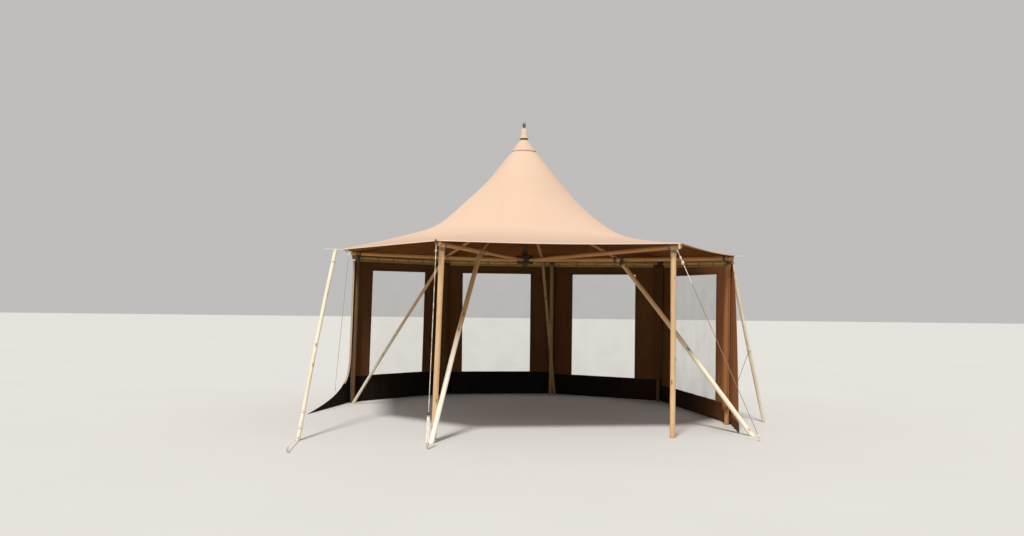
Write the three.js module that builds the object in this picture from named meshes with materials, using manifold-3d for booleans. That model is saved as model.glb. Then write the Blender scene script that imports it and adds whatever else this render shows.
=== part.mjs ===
// Open garden pavilion of round poles and canvas: eight roof corners round a king post,
// seven upright posts, raking struts, and canvas walls with clear windows round the back half.
// Millimetres, +Z up. Azimuths are degrees anticlockwise from +X, and -90 is the open front.
// The plan is set out round the king post, and the finished group is moved at the end so that
// its origin is on the ground, in the middle of everything that stands there.

import * as THREE from 'three';
import { mergeVertices } from 'three/addons/utils/BufferGeometryUtils.js';
import Module from 'manifold-3d';

const wasm = await Module();
wasm.setup();

// Driving dimensions

const CLEARANCE = 0.3;
const POST = { ring: 3100, radius: 35 };
const SPOKE = { inset: 15, outer: 31, inner: 24, overlap: 40, root: 70, hubHeight: 2370 };
const HUB = { radius: 130, bottom: 2310, top: 2440 };
const KING_POST = { radius: 42, bottom: 2270, top: 4150, lean: -35 };
const BRACE_RADIUS = 23;
const RAIL = { radius: 25, outset: 58, drop: 62, endGap: 20 };
const WALL = { thickness: 10, overlap: 20, endGap: 6 };
const FILM_THICKNESS = 6;
const WING = { steps: 10, root: 30, headDrop: 60, knee: 2230 };
const CANOPY = { crown: 120, thickness: 14, seat: 5, baySteps: 6, ringSteps: 18, crowding: 1.3 };
const ROOF = { eave: 2490, reach: 3330, slope: 410, bell: 1265, spread: 800, power: 1.63 };
const EAVE = { squareFrom: 0.25, sag: 22, sagPower: 4, risePower: 10, dropPower: 3 };
const CROWN = { steady: 0.022, settled: 0.25 };
const CAP = { skirt: 186, top: 64, bore: 24, topHeight: 4212, thickness: 8, lap: 3 };
const FINIAL_SIDES = 24;
const RAKING_POLE_RADIUS = 26;
const STRAP = { radius: 5, end: 3330, overlap: 0.1 };
const ROPE = { radius: 6, knot: 15 };
const STAKE = { radius: 13, height: 90, lean: 30, hitch: 60 };
const SIDES = 16;
const ROPE_SIDES = 8;
const BELOW_GROUND = 60;
const MERGE_WITHIN = 1e-4;

// Where the canvas stands fuller or falls in more than the even bell: how much, how far out from
// the crown, how wide and toward which azimuth
const SWELLS = [
  { height: 108, radius: 915, width: 360, azimuth: 180 },
  { height: 48, radius: 1950, width: 800, azimuth: 180 },
  { height: -44, radius: 1530, width: 380, azimuth: 0 },
];

// The turned finial from its seat up, as [radius, height above the seat]
const FINIAL_OUTLINE = [
  [60, 0], [56, 14], [50, 22], [54, 30], [72, 38], [68, 52], [61, 80], [57, 120], [53, 168],
  [46, 184], [24, 192], [21, 204], [29, 222], [31, 240], [26, 262], [13, 282], [0, 292],
];

// The eight roof corners, clockwise from the left as seen from the front. tip and eave are the
// radius and height of the canvas corner, and splice is where a spoke's thick outer pole ends.
// A post's lean, a strut's foot and a pole's head are given outward and sideways from the corner's
// own radial line, and a guy's ring outward and up. A pole's foot and every stake are given in
// plan from the king post, and tie is how far up a pole, as a share, its rope is tied. An eave
// that is pulled taut to the next corner has a sag of its own.
const CORNERS = [
  { name: 'left', azimuth: 154, tip: 3250, eave: 2540, lean: [0, 125], splice: 250,
    strut: { joint: 1420, foot: [3035, 196], brace: 3210, radius: 24 },
    guy: { ring: [3300, 2480], stake: [-3430, 2950] } },
  { name: 'back_left', azimuth: 118, tip: 3190, eave: 2520, lean: [0, 0], splice: 900,
    guy: { ring: [3300, 2470], stake: [-1700, 3750] } },
  { name: 'back', azimuth: 80, tip: 3190, eave: 2520, lean: [0, 0], splice: 900,
    strut: { joint: 1900, foot: [3060, -80], brace: 3330, radius: 24 },
    guy: { ring: [3300, 2470], stake: [730, 4140] } },
  { name: 'back_right', azimuth: 40, tip: 3190, eave: 2500, lean: [0, 0], splice: 900,
    guy: { ring: [3300, 2450], stake: [2720, 3080] } },
  { name: 'right', azimuth: -20, tip: 3190, eave: 2430, lean: [0, 0], splice: 900,
    strut: { joint: 1486, foot: [3582, -1056], brace: 3190, radius: 32 },
    pole: { head: [3105, 172], foot: [3540, -700], tie: 0.44, stake: [3090, -250] } },
  { name: 'front_right', azimuth: -52.3, tip: 3240, eave: 2525, lean: [8, 10], splice: 565,
    guy: { ring: [3170, 2432], stake: [2957, -2660] } },
  { name: 'front_left', azimuth: -110.4, tip: 3230, eave: 2503, lean: [28, -75], splice: 1594,
    sag: 0,
    strut: { joint: 1820, foot: [3369, 7], brace: 3350, radius: 32 },
    guy: { ring: [3272, 2466], stake: [-1177, -3620] } },
  { name: 'fore_left', azimuth: -146, tip: 3045, eave: 2437,
    pole: { head: [3155, 0], foot: [-2830, -3050], tie: 0.02, stake: [-2751, -3980] } },
];

// The walled bays, from corner to corner clockwise. The strips are the canvas on either side of
// the window, which reaches from its sill to its head. The lean is how far a wall's first end and
// its window are set over at the ground. A wing is the loose end of a wall, which spreads forward
// along the ground to its tip: its edge runs straight down if the curl is 1, bulges forward if the
// curl is less, and sweeps out close to the ground if the curl is more.
const BAYS = [
  { name: 'left', from: 'left', to: 'back_left', strips: [380, 378], sill: 430, head: 2220, lean: 85,
    wing: { at: 'left', tip: [-3260, -420], top: 105, curl: 12.5 } },
  { name: 'back_left', from: 'back_left', to: 'back', strips: [385, 400], sill: 410, head: 2220, lean: 0 },
  { name: 'back_right', from: 'back', to: 'back_right', strips: [415, 490], sill: 370, head: 2215, lean: 0 },
  { name: 'right', from: 'back_right', to: 'right', strips: [600, 610], sill: 280, head: 2178, lean: 0,
    wing: { at: 'right', tip: [2889, -1946], top: 10, curl: 0.54 } },
];

const COLOURS = {
  pine: 0xd9a878, bleached: 0xe9dcc0, dark: 0x3d2b20, canvas: 0xe8cba8,
  wall: 0x6b4630, film: 0xc9d2cc, rope: 0xeee6d6, turned: 0xb98a63,
};

function finish(colour, roughness) {
  return new THREE.MeshStandardMaterial({ color: colour, roughness, metalness: 0 });
}

// Solids: three.js geometry in and out of manifold-3d, which only joins and cuts

function toSolid(geometry) {
  const plain = geometry.index ? geometry.toNonIndexed() : geometry.clone();
  plain.deleteAttribute('normal');
  plain.deleteAttribute('uv');
  const merged = mergeVertices(plain, MERGE_WITHIN);
  return new wasm.Manifold(new wasm.Mesh({
    numProp: 3,
    vertProperties: new Float32Array(merged.attributes.position.array),
    triVerts: new Uint32Array(merged.index.array),
  }));
}

function toGeometry(solid) {
  const mesh = solid.getMesh();
  const geometry = new THREE.BufferGeometry();
  geometry.setAttribute('position', new THREE.BufferAttribute(new Float32Array(mesh.vertProperties), 3));
  geometry.setIndex(new THREE.BufferAttribute(new Uint32Array(mesh.triVerts), 1));
  geometry.computeVertexNormals();
  return geometry;
}

// A round rod between two points
function rod(start, end, radius, sides = SIDES) {
  const along = end.clone().sub(start);
  const geometry = new THREE.CylinderGeometry(radius, radius, along.length(), sides);
  const upright = new THREE.Vector3(0, 1, 0);
  const turn = new THREE.Quaternion().setFromUnitVectors(upright, along.clone().normalize());
  const middle = start.clone().add(end).multiplyScalar(0.5);
  geometry.applyQuaternion(turn);
  geometry.translate(middle.x, middle.y, middle.z);
  return toSolid(geometry);
}

// A leaning rod that stands on the ground, sawn level at its foot
function standingRod(foot, head, radius, sides = SIDES) {
  const along = head.clone().sub(foot).normalize();
  const below = foot.clone().addScaledVector(along, -BELOW_GROUND);
  return rod(below, head, radius, sides).trimByPlane([0, 0, 1], 0);
}

// A lathe shape about the Z axis through the hub, from [radius, height] points
function turned(profile, sides) {
  const points = profile.map(([radius, height]) => new THREE.Vector2(radius, height));
  const geometry = new THREE.LatheGeometry(points, sides);
  geometry.rotateX(Math.PI / 2);
  return toSolid(geometry);
}

// A closed shell through rings of points, each ring as long as the last, the last joined to the first
function ringShell(rings) {
  const count = rings[0].length;
  const positions = rings.flat().flatMap((point) => [point.x, point.y, point.z]);
  const triangles = [];
  for (let i = 0; i < rings.length; i += 1) {
    const next = (i + 1) % rings.length;
    for (let j = 0; j < count; j += 1) {
      const side = (j + 1) % count;
      const a = i * count + j;
      const b = i * count + side;
      const c = next * count + side;
      const d = next * count + j;
      triangles.push(a, c, d, a, b, c);
    }
  }
  const geometry = new THREE.BufferGeometry();
  geometry.setAttribute('position', new THREE.Float32BufferAttribute(positions, 3));
  geometry.setIndex(triangles);
  return toSolid(geometry);
}

// Setting out

function cornerNamed(name) {
  return CORNERS.find((corner) => corner.name === name);
}

function inPlan(azimuth, out, aside, height) {
  const turn = THREE.MathUtils.degToRad(azimuth);
  const x = out * Math.cos(turn) - aside * Math.sin(turn);
  const y = out * Math.sin(turn) + aside * Math.cos(turn);
  return new THREE.Vector3(x, y, height);
}

// A spoke's axis falls in a straight line from its tip, under the canvas, to the hub
function spokeHeight(corner, out) {
  const tipHeight = corner.eave - CANOPY.thickness - SPOKE.outer + CANOPY.seat;
  const share = (out - HUB.radius) / (corner.tip - HUB.radius);
  return SPOKE.hubHeight + (tipHeight - SPOKE.hubHeight) * share;
}

function spokePoint(corner, out) {
  return inPlan(corner.azimuth, out, 0, spokeHeight(corner, out));
}

function spokeSolid(corner, grow) {
  const end = spokePoint(corner, corner.tip - SPOKE.inset + grow);
  const outer = rod(spokePoint(corner, corner.splice), end, SPOKE.outer + grow);
  const innerEnd = spokePoint(corner, corner.splice + SPOKE.overlap);
  return outer.add(rod(spokePoint(corner, SPOKE.root), innerEnd, SPOKE.inner + grow));
}

function postSolid(corner, grow) {
  const [leanOut, leanAside] = corner.lean;
  const foot = inPlan(corner.azimuth, POST.ring + leanOut, leanAside, 0);
  const head = inPlan(corner.azimuth, POST.ring, 0, spokeHeight(corner, POST.ring));
  return standingRod(foot, head, POST.radius + grow);
}

function hubSolid(grow) {
  const reach = HUB.radius + grow;
  const bottom = HUB.bottom - grow;
  const top = HUB.top + grow;
  return turned([[0, bottom], [reach, bottom], [reach, top], [0, top]], SIDES * 2);
}

// The king post leans a little to the left, and its ends are sawn level
function kingPostPoint(height) {
  const share = (height - KING_POST.bottom) / (KING_POST.top - KING_POST.bottom);
  return new THREE.Vector3(KING_POST.lean * share, 0, height);
}

function kingPostSolid(grow) {
  const { bottom, top, radius } = KING_POST;
  return rod(kingPostPoint(bottom - radius), kingPostPoint(top + radius), radius + grow)
    .trimByPlane([0, 0, 1], bottom - grow)
    .trimByPlane([0, 0, -1], -top - grow);
}

// Roof canvas: a bell that flattens to the eave, round at the crown and eight-sided at the eave

function roofBell(radius) {
  return ROOF.bell * Math.exp(-((radius / ROOF.spread) ** ROOF.power));
}

function roofHeight(radius) {
  const slope = ROOF.slope * (1 - radius / ROOF.reach);
  return ROOF.eave + slope + roofBell(radius) - roofBell(ROOF.reach);
}

// How far out the line between two roof corners lies, at a share of the angle between them
function chordRadius(first, second, gap, share) {
  const toFirst = Math.sin(gap * (1 - share)) / first;
  const toSecond = Math.sin(gap * share) / second;
  return Math.sin(gap) / (toFirst + toSecond);
}

function swellAt(azimuth, out) {
  return SWELLS.reduce((sum, swell) => {
    const apart = THREE.MathUtils.degToRad(azimuth - swell.azimuth);
    const round = ((1 + Math.cos(apart)) / 2) ** 2;
    return sum + swell.height * round * Math.exp(-(((out - swell.radius) / swell.width) ** 2));
  }, 0);
}

// A point of the roof, by its share of the way round to the next corner and along to the eave. A
// corner that is propped up lifts only the canvas near it, and one that is low draws more down. The
// crown is over the head of the king post.
function roofPoint(corner, next, share, along) {
  const gap = THREE.MathUtils.degToRad((corner.azimuth - next.azimuth + 360) % 360);
  const azimuth = corner.azimuth - THREE.MathUtils.radToDeg(gap) * share;
  const squareness = THREE.MathUtils.smoothstep(along, EAVE.squareFrom, 1);
  const ridge = CANOPY.crown + (ROOF.reach - CANOPY.crown) * along;
  const tip = chordRadius(corner.tip, next.tip, gap, share);
  const radius = ridge * (1 + squareness * (tip / ROOF.reach - 1));
  const eave = corner.eave + (next.eave - corner.eave) * share;
  const sag = (corner.sag ?? EAVE.sag) * Math.sin(Math.PI * share) * along ** EAVE.sagPower;
  const lift = (eave - ROOF.eave) * along ** (eave > ROOF.eave ? EAVE.risePower : EAVE.dropPower);
  const height = roofHeight(ridge) + swellAt(azimuth, ridge) + lift - sag;
  const settled = THREE.MathUtils.smoothstep(along, CROWN.steady, CROWN.settled);
  return inPlan(azimuth, radius, 0, height).add(new THREE.Vector3(KING_POST.lean * (1 - settled), 0, 0));
}

function roofRing(along, drop) {
  return CORNERS.flatMap((corner, index) => {
    const next = CORNERS[(index + 1) % CORNERS.length];
    const shares = Array.from({ length: CANOPY.baySteps }, (_, step) => step / CANOPY.baySteps);
    const points = shares.map((share) => roofPoint(corner, next, share, along));
    points.forEach((point) => point.setZ(point.z - drop));
    return points;
  });
}

// The canvas a little larger and lower, to cut what reaches its underside or its corners
function canopyCutter(canopy) {
  const grow = 1 + CLEARANCE / POST.ring;
  return canopy.scale([grow, grow, 1]).translate([0, 0, -CLEARANCE]);
}

function canopySolid() {
  const steps = Array.from({ length: CANOPY.ringSteps + 1 }, (_, step) => step / CANOPY.ringSteps);
  const stations = steps.map((share) => share ** CANOPY.crowding);
  const top = stations.map((along) => roofRing(along, 0));
  const underside = stations.map((along) => roofRing(along, CANOPY.thickness)).reverse();
  return ringShell([...top, ...underside]);
}

// Crown cap and finial

function capSolid(canopy) {
  const { skirt, top, bore, topHeight, thickness, lap } = CAP;
  const collar = CANOPY.crown + thickness;
  const shell = turned([
    [bore, topHeight - 2 * thickness], [top - thickness, topHeight - 2 * thickness],
    [collar, roofHeight(collar) - lap], [skirt, roofHeight(skirt) - lap],
    [skirt, roofHeight(skirt) + thickness], [top, topHeight], [bore, topHeight],
    [bore, topHeight - 2 * thickness],
  ], SIDES * 2);
  return shell.translate([KING_POST.lean, 0, 0]).subtract(canopy.translate([0, 0, CLEARANCE]));
}

function finialSolid() {
  const seat = CAP.topHeight + CLEARANCE;
  const foot = KING_POST.top + CLEARANCE;
  const spigot = CAP.bore - CLEARANCE;
  const outline = FINIAL_OUTLINE.map(([radius, height]) => [radius, seat + height]);
  return turned([[0, foot], [spigot, foot], [spigot, seat], ...outline], FINIAL_SIDES)
    .translate([KING_POST.lean, 0, 0]);
}

// Struts, braces, ropes and leaning poles

function strutSolid(corner) {
  const joint = spokePoint(corner, corner.strut.joint);
  const [out, aside] = corner.strut.foot;
  const foot = inPlan(corner.azimuth, out, aside, 0);
  return standingRod(foot, joint, corner.strut.radius).subtract(spokeSolid(corner, CLEARANCE));
}

function braceSolid(corner) {
  const joint = spokePoint(corner, corner.strut.joint);
  return rod(joint, kingPostPoint(corner.strut.brace), BRACE_RADIUS)
    .subtract(spokeSolid(corner, CLEARANCE))
    .subtract(kingPostSolid(CLEARANCE));
}

// A stake leans away from what pulls on it, and the rope is hitched near its top
function stakeAt(foot, pull) {
  const away = new THREE.Vector3(foot.x - pull.x, foot.y - pull.y, 0).normalize();
  const head = foot.clone().addScaledVector(away, STAKE.lean).setZ(STAKE.height);
  const hitch = foot.clone().lerp(head, STAKE.hitch / STAKE.height);
  return { solid: standingRod(foot, head, STAKE.radius, ROPE_SIDES), hitch };
}

function ropeSolid(start, end, radius = ROPE.radius) {
  return rod(start, end, radius, ROPE_SIDES);
}

// A guy runs from the spoke's end out to its ring, and from there down to its stake
function guySolid(corner) {
  const { ring, stake } = corner.guy;
  const [out, height] = ring;
  const root = spokePoint(corner, POST.ring + POST.radius);
  const turn = inPlan(corner.azimuth, out, 0, height);
  const peg = stakeAt(new THREE.Vector3(...stake, 0), turn);
  const knot = new THREE.IcosahedronGeometry(ROPE.knot, 1);
  knot.translate(turn.x, turn.y, turn.z);
  return ropeSolid(root, turn)
    .add(toSolid(knot))
    .add(ropeSolid(peg.hitch, turn))
    .add(peg.solid)
    .subtract(spokeSolid(corner, CLEARANCE))
    .subtract(postSolid(corner, CLEARANCE));
}

// A leaning pole at a roof corner, its strap, and the rope that holds it. A pole that stands clear
// of the corner is laced to it.
function rakingPoleSolid(corner, canopy) {
  const { head, foot, stake, tie } = corner.pole;
  const base = new THREE.Vector3(...foot, 0);
  const height = corner.eave - CANOPY.thickness / 2;
  const top = inPlan(corner.azimuth, ...head, height);
  const tied = base.clone().lerp(top, tie);
  const peg = stakeAt(new THREE.Vector3(...stake, 0), tied);
  const strapStart = inPlan(corner.azimuth, corner.tip, 0, height);
  const strapEnd = inPlan(corner.azimuth, STRAP.end, 0, height);
  const strapTurn = top.clone().lerp(strapStart, STRAP.overlap);
  const lacing = head[0] > corner.tip ? [ropeSolid(strapStart, top, STRAP.radius)] : [];
  const strap = ropeSolid(strapTurn, strapEnd, STRAP.radius);
  const pole = standingRod(base, top, RAKING_POLE_RADIUS);
  return [...lacing, strap, ropeSolid(peg.hitch, tied), peg.solid]
    .reduce((whole, piece) => whole.add(piece), pole)
    .subtract(canopyCutter(canopy));
}

// Walled bays, in the bay's own frame: x along the rail, y outward, z up

function railHeight(corner) {
  return spokeHeight(corner, POST.ring) - RAIL.drop;
}

function bayFrame(bay) {
  const from = cornerNamed(bay.from);
  const to = cornerNamed(bay.to);
  const gap = from.azimuth - to.azimuth;
  const half = THREE.MathUtils.degToRad(gap / 2);
  const group = new THREE.Group();
  const facing = from.azimuth - gap / 2;
  group.position.copy(inPlan(facing, POST.ring * Math.cos(half) + RAIL.outset, 0, 0));
  group.rotation.z = THREE.MathUtils.degToRad(facing - 90);
  group.updateMatrixWorld();
  const reach = POST.ring * Math.sin(half) + RAIL.outset * Math.tan(half);
  return { group, reach, heights: [from, to].map(railHeight) };
}

function intoFrame(group, solid) {
  const matrix = group.matrixWorld.clone().invert();
  return toSolid(toGeometry(solid).applyMatrix4(matrix));
}

function railRod({ reach, heights }, grow) {
  const end = reach - RAIL.endGap + grow;
  const [from, to] = heights;
  return rod(new THREE.Vector3(-end, 0, from), new THREE.Vector3(end, 0, to), RAIL.radius + grow);
}

function railSolid(bay, frame) {
  const posts = [bay.from, bay.to].map((name) => postSolid(cornerNamed(name), CLEARANCE));
  return posts.reduce((solid, post) => solid.subtract(intoFrame(frame.group, post)), railRod(frame, 0));
}

function sheet(shape, thickness) {
  const geometry = new THREE.ExtrudeGeometry(shape, { depth: thickness, bevelEnabled: false });
  geometry.translate(0, 0, -thickness / 2);
  geometry.rotateX(Math.PI / 2);
  return toSolid(geometry);
}

// How far over to its first end a leaning wall is, at a height below its rail
function leanAt(bay, frame, z) {
  return bay.lean * (1 - z / frame.heights[0]);
}

function windowOutline(bay, frame, inset) {
  const [fromStrip, toStrip] = bay.strips;
  const left = -frame.reach + fromStrip + inset;
  const right = frame.reach - toStrip - inset;
  const bottom = bay.sill + inset;
  const top = bay.head - inset;
  const corners = [[left, bottom], [right, bottom], [right, top], [left, top]];
  return corners.map(([x, z]) => new THREE.Vector2(x - leanAt(bay, frame, z), z));
}

// The loose end, in slices between heights: each starts inside the wall's own end and reaches out
// toward the tip
function wingSolid(bay, frame) {
  const { at, tip, top, curl } = bay.wing;
  const side = at === bay.from ? -1 : 1;
  const end = side * (frame.reach - WALL.endGap);
  const rootAt = (z) => new THREE.Vector3(end - (side < 0 ? leanAt(bay, frame, z) : 0), 0, z);
  const target = frame.group.worldToLocal(new THREE.Vector3(tip[0], tip[1], 0));
  const length = target.distanceTo(rootAt(0));
  const toward = target.clone().sub(rootAt(0)).normalize();
  const turns = Array.from({ length: WING.steps + 1 }, (_, step) => Math.PI * step / WING.steps);
  const rises = turns.map((turn) => (1 - Math.cos(turn)) / 2);
  const heights = [...rises.map((rise) => WING.knee * rise), railHeight(cornerNamed(at)) - WING.headDrop];
  const slices = heights.map((z) => {
    const spread = Math.max(0, 1 - z / WING.knee) ** curl;
    const width = top + (length - top) * spread;
    const inner = rootAt(z).add(new THREE.Vector3(-side * WING.root, 0, 0));
    const outer = rootAt(z).addScaledVector(toward, width);
    const faces = [-WALL.thickness / 2, WALL.thickness / 2];
    return faces.flatMap((y) => [[inner.x, y, z], [outer.x, outer.y + y, z]]);
  });
  const pieces = slices.slice(1).map((slice, index) => wasm.Manifold.hull([...slices[index], ...slice]));
  return pieces.reduce((whole, piece) => whole.add(piece));
}

function wallSolid(bay, frame) {
  const { reach, heights } = frame;
  const end = reach - WALL.endGap;
  const shape = new THREE.Shape([
    new THREE.Vector2(-end - leanAt(bay, frame, 0), 0), new THREE.Vector2(end, 0),
    new THREE.Vector2(end, heights[1] - WALL.overlap),
    new THREE.Vector2(-end - leanAt(bay, frame, heights[0] - WALL.overlap), heights[0] - WALL.overlap),
  ]);
  shape.holes.push(new THREE.Path(windowOutline(bay, frame, 0)));
  const panel = sheet(shape, WALL.thickness);
  const whole = bay.wing ? panel.add(wingSolid(bay, frame)) : panel;
  return whole.subtract(railRod(frame, CLEARANCE));
}

function windowSolid(bay, frame) {
  return sheet(new THREE.Shape(windowOutline(bay, frame, CLEARANCE)), FILM_THICKNESS);
}

// Assembly

function addPiece(parent, name, solid, material) {
  const mesh = new THREE.Mesh(toGeometry(solid), material);
  mesh.name = name;
  parent.add(mesh);
}

function addFrame(parent) {
  const pine = finish(COLOURS.pine, 0.6);
  const bleached = finish(COLOURS.bleached, 0.7);
  const hub = hubSolid(0).subtract(kingPostSolid(CLEARANCE));
  addPiece(parent, 'hub', hub, finish(COLOURS.dark, 0.7));
  addPiece(parent, 'king_post', kingPostSolid(0), pine);
  CORNERS.filter((corner) => corner.lean).forEach((corner) => {
    const spoke = spokeSolid(corner, 0).subtract(hubSolid(CLEARANCE));
    const post = postSolid(corner, 0).subtract(spokeSolid(corner, CLEARANCE));
    addPiece(parent, `spoke_${corner.name}`, spoke, pine);
    addPiece(parent, `post_${corner.name}`, post, pine);
  });
  CORNERS.filter((corner) => corner.strut).forEach((corner) => {
    addPiece(parent, `strut_${corner.name}`, strutSolid(corner), bleached);
    addPiece(parent, `brace_${corner.name}`, braceSolid(corner), pine);
  });
}

function addRoof(parent) {
  const cover = canopySolid();
  const canvas = finish(COLOURS.canvas, 0.9);
  const spoked = CORNERS.filter((corner) => corner.lean);
  const canopy = spoked.reduce((solid, corner) => solid.subtract(spokeSolid(corner, CLEARANCE)), cover);
  addPiece(parent, 'canopy', canopy, canvas);
  addPiece(parent, 'crown_cap', capSolid(cover), canvas);
  addPiece(parent, 'finial', finialSolid(), finish(COLOURS.turned, 0.5));
  const rope = finish(COLOURS.rope, 0.9);
  CORNERS.filter((corner) => corner.guy).forEach((corner) => {
    addPiece(parent, `guy_${corner.name}`, guySolid(corner), rope);
  });
  const bleached = finish(COLOURS.bleached, 0.7);
  CORNERS.filter((corner) => corner.pole).forEach((corner) => {
    addPiece(parent, `raking_pole_${corner.name}`, rakingPoleSolid(corner, cover), bleached);
  });
}

function addBay(parent, bay) {
  const frame = bayFrame(bay);
  addPiece(frame.group, `rail_${bay.name}`, railSolid(bay, frame), finish(COLOURS.pine, 0.6));
  addPiece(frame.group, `wall_${bay.name}`, wallSolid(bay, frame), finish(COLOURS.wall, 0.9));
  addPiece(frame.group, `window_${bay.name}`, windowSolid(bay, frame), finish(COLOURS.film, 0.1));
  parent.add(frame.group);
}

function build() {
  const pavilion = new THREE.Group();
  pavilion.name = 'pavilion';
  addFrame(pavilion);
  addRoof(pavilion);
  BAYS.forEach((bay) => addBay(pavilion, bay));
  pavilion.updateMatrixWorld(true);
  const bounds = new THREE.Box3().setFromObject(pavilion, true);
  pavilion.position.set(-(bounds.min.x + bounds.max.x) / 2, -(bounds.min.y + bounds.max.y) / 2, 0);
  pavilion.updateMatrixWorld(true);
  return pavilion;
}

export default build();
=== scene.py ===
"""Open garden pavilion of round poles and canvas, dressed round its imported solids. Metres, +Z up."""

import math

import bpy
import numpy as np
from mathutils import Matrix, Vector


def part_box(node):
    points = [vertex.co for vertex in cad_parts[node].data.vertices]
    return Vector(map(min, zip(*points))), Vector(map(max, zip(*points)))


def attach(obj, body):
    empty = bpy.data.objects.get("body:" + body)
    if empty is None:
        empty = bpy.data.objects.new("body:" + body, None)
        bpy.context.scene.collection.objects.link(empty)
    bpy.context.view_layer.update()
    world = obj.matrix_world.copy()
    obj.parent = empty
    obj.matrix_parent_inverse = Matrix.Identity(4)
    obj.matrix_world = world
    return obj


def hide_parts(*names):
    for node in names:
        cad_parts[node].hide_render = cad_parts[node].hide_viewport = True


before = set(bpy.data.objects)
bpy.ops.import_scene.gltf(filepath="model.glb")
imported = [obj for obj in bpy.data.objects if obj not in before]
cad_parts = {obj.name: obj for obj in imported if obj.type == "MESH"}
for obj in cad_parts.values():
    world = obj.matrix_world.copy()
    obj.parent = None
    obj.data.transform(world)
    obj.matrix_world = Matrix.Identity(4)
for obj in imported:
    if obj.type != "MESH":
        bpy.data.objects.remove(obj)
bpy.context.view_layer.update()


# The camera and the studio: a level lens at eye height in front of the open side, rolled by a
# hair, over a pale floor, with an even surround and one broad soft light from high at the left.

SHARP_ABOVE = 42
FLOOR_HALF = 60.0
FLOOR_LEVEL = -0.002
FLOOR_POINTS = 9
SURROUND_STRENGTH = 0.52
SUN_TILT = 30
SUN_TURN = -16
SUN_SPREAD = 9

lens = bpy.data.cameras.new("camera")
camera = bpy.data.objects.new("camera", lens)
bpy.context.scene.collection.objects.link(camera)
camera.location = (-0.2575, -15.4998, 1.85)
camera.rotation_euler = (math.pi / 2, -0.011, 0)
lens.sensor_width = 36
lens.lens = 35.086
lens.shift_x = 0.0003
lens.shift_y = 0.025
lens.clip_end = 300
bpy.context.scene.camera = camera
bpy.context.scene.view_settings.view_transform = "Standard"


def node(material, kind, **inputs):
    """A shader node with its inputs named in inputs: a socket is linked, and a value is set."""
    made = material.node_tree.nodes.new(kind)
    for label, value in inputs.items():
        socket = made.inputs[label.replace("_", " ")]
        if isinstance(value, bpy.types.NodeSocket):
            material.node_tree.links.new(value, socket)
        else:
            socket.default_value = value
    return made


def new_finish(name, **values):
    """A material, and its shader with these plain values on its own sockets."""
    material = bpy.data.materials.new(name)
    material.use_nodes = True
    shader = material.node_tree.nodes["Principled BSDF"]
    for label, value in values.items():
        shader.inputs[label.replace("_", " ")].default_value = value
    return material


def wire(material, **sockets):
    """Links output sockets to the shader's inputs of these names."""
    shader = material.node_tree.nodes["Principled BSDF"]
    for label, socket in sockets.items():
        material.node_tree.links.new(socket, shader.inputs[label.replace("_", " ")])


def in_object(material):
    """Object coordinates, in metres."""
    return node(material, "ShaderNodeTexCoord").outputs["Object"]


def noise(material, vector, scale, detail=4.0, roughness=0.5):
    """Cloudy values from 0 to 1."""
    made = node(
        material, "ShaderNodeTexNoise", Vector=vector, Scale=scale, Detail=detail, Roughness=roughness
    )
    return made.outputs["Fac"]


def ramp(material, factor, *stops):
    """Colours or values at positions from 0 to 1, and even changes between them."""
    made = node(material, "ShaderNodeValToRGB", Fac=factor)
    elements = made.color_ramp.elements
    for index, (position, colour) in enumerate(stops):
        element = elements[index] if index < 2 else elements.new(position)
        element.position = position
        element.color = (*colour, 1) if hasattr(colour, "__len__") else (colour, colour, colour, 1)
    return made.outputs["Color"]


def shape(name, points, faces, vectors=None):
    """A smooth mesh at the origin, with any vectors that its points carry as named attributes."""
    mesh = bpy.data.meshes.new(name)
    mesh.from_pydata(points.reshape(-1, 3).tolist(), [], faces)
    mesh.polygons.foreach_set("use_smooth", np.ones(len(mesh.polygons), bool))
    mesh.set_sharp_from_angle(angle=math.radians(SHARP_ABOVE))
    for label, values in (vectors or {}).items():
        attribute = mesh.attributes.new(label, "FLOAT_VECTOR", "POINT")
        attribute.data.foreach_set("vector", np.asarray(values, np.float32).ravel())
    mesh.update()
    piece = bpy.data.objects.new(name, mesh)
    bpy.context.scene.collection.objects.link(piece)
    return piece


def quads(rows, columns, wrapped=False):
    """Faces between the neighbours of a grid of points, row after row, joined up if it wraps."""
    row, column = np.meshgrid(np.arange(rows - 1), np.arange(columns - (not wrapped)), indexing="ij")
    beside = (column + 1) % columns
    corners = [row * columns + column, row * columns + beside]
    corners += [(row + 1) * columns + beside, (row + 1) * columns + column]
    return np.stack(corners, axis=-1).reshape(-1, 4)


floor_rows = np.linspace(-FLOOR_HALF, FLOOR_HALF, FLOOR_POINTS)
floor_x, floor_y = np.meshgrid(floor_rows, floor_rows)
floor_points = np.stack([floor_x, floor_y, np.full_like(floor_x, FLOOR_LEVEL)], axis=-1)
floor = shape("studio_floor", floor_points, quads(FLOOR_POINTS, FLOOR_POINTS).tolist())
floor_finish = new_finish("studio_floor", Roughness=0.9)
floor_tone = noise(floor_finish, in_object(floor_finish), scale=0.4)
floor_colour = ramp(floor_finish, floor_tone, (0, (0.56, 0.555, 0.54)), (1, (0.60, 0.595, 0.58)))
wire(floor_finish, Base_Color=floor_colour)
floor.data.materials.append(floor_finish)

surround = bpy.data.worlds.new("surround")
surround.use_nodes = True
surround_light = surround.node_tree.nodes["Background"]
surround_light.inputs["Color"].default_value = (1.0, 0.985, 0.965, 1)
surround_light.inputs["Strength"].default_value = SURROUND_STRENGTH
bpy.context.scene.world = surround

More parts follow.
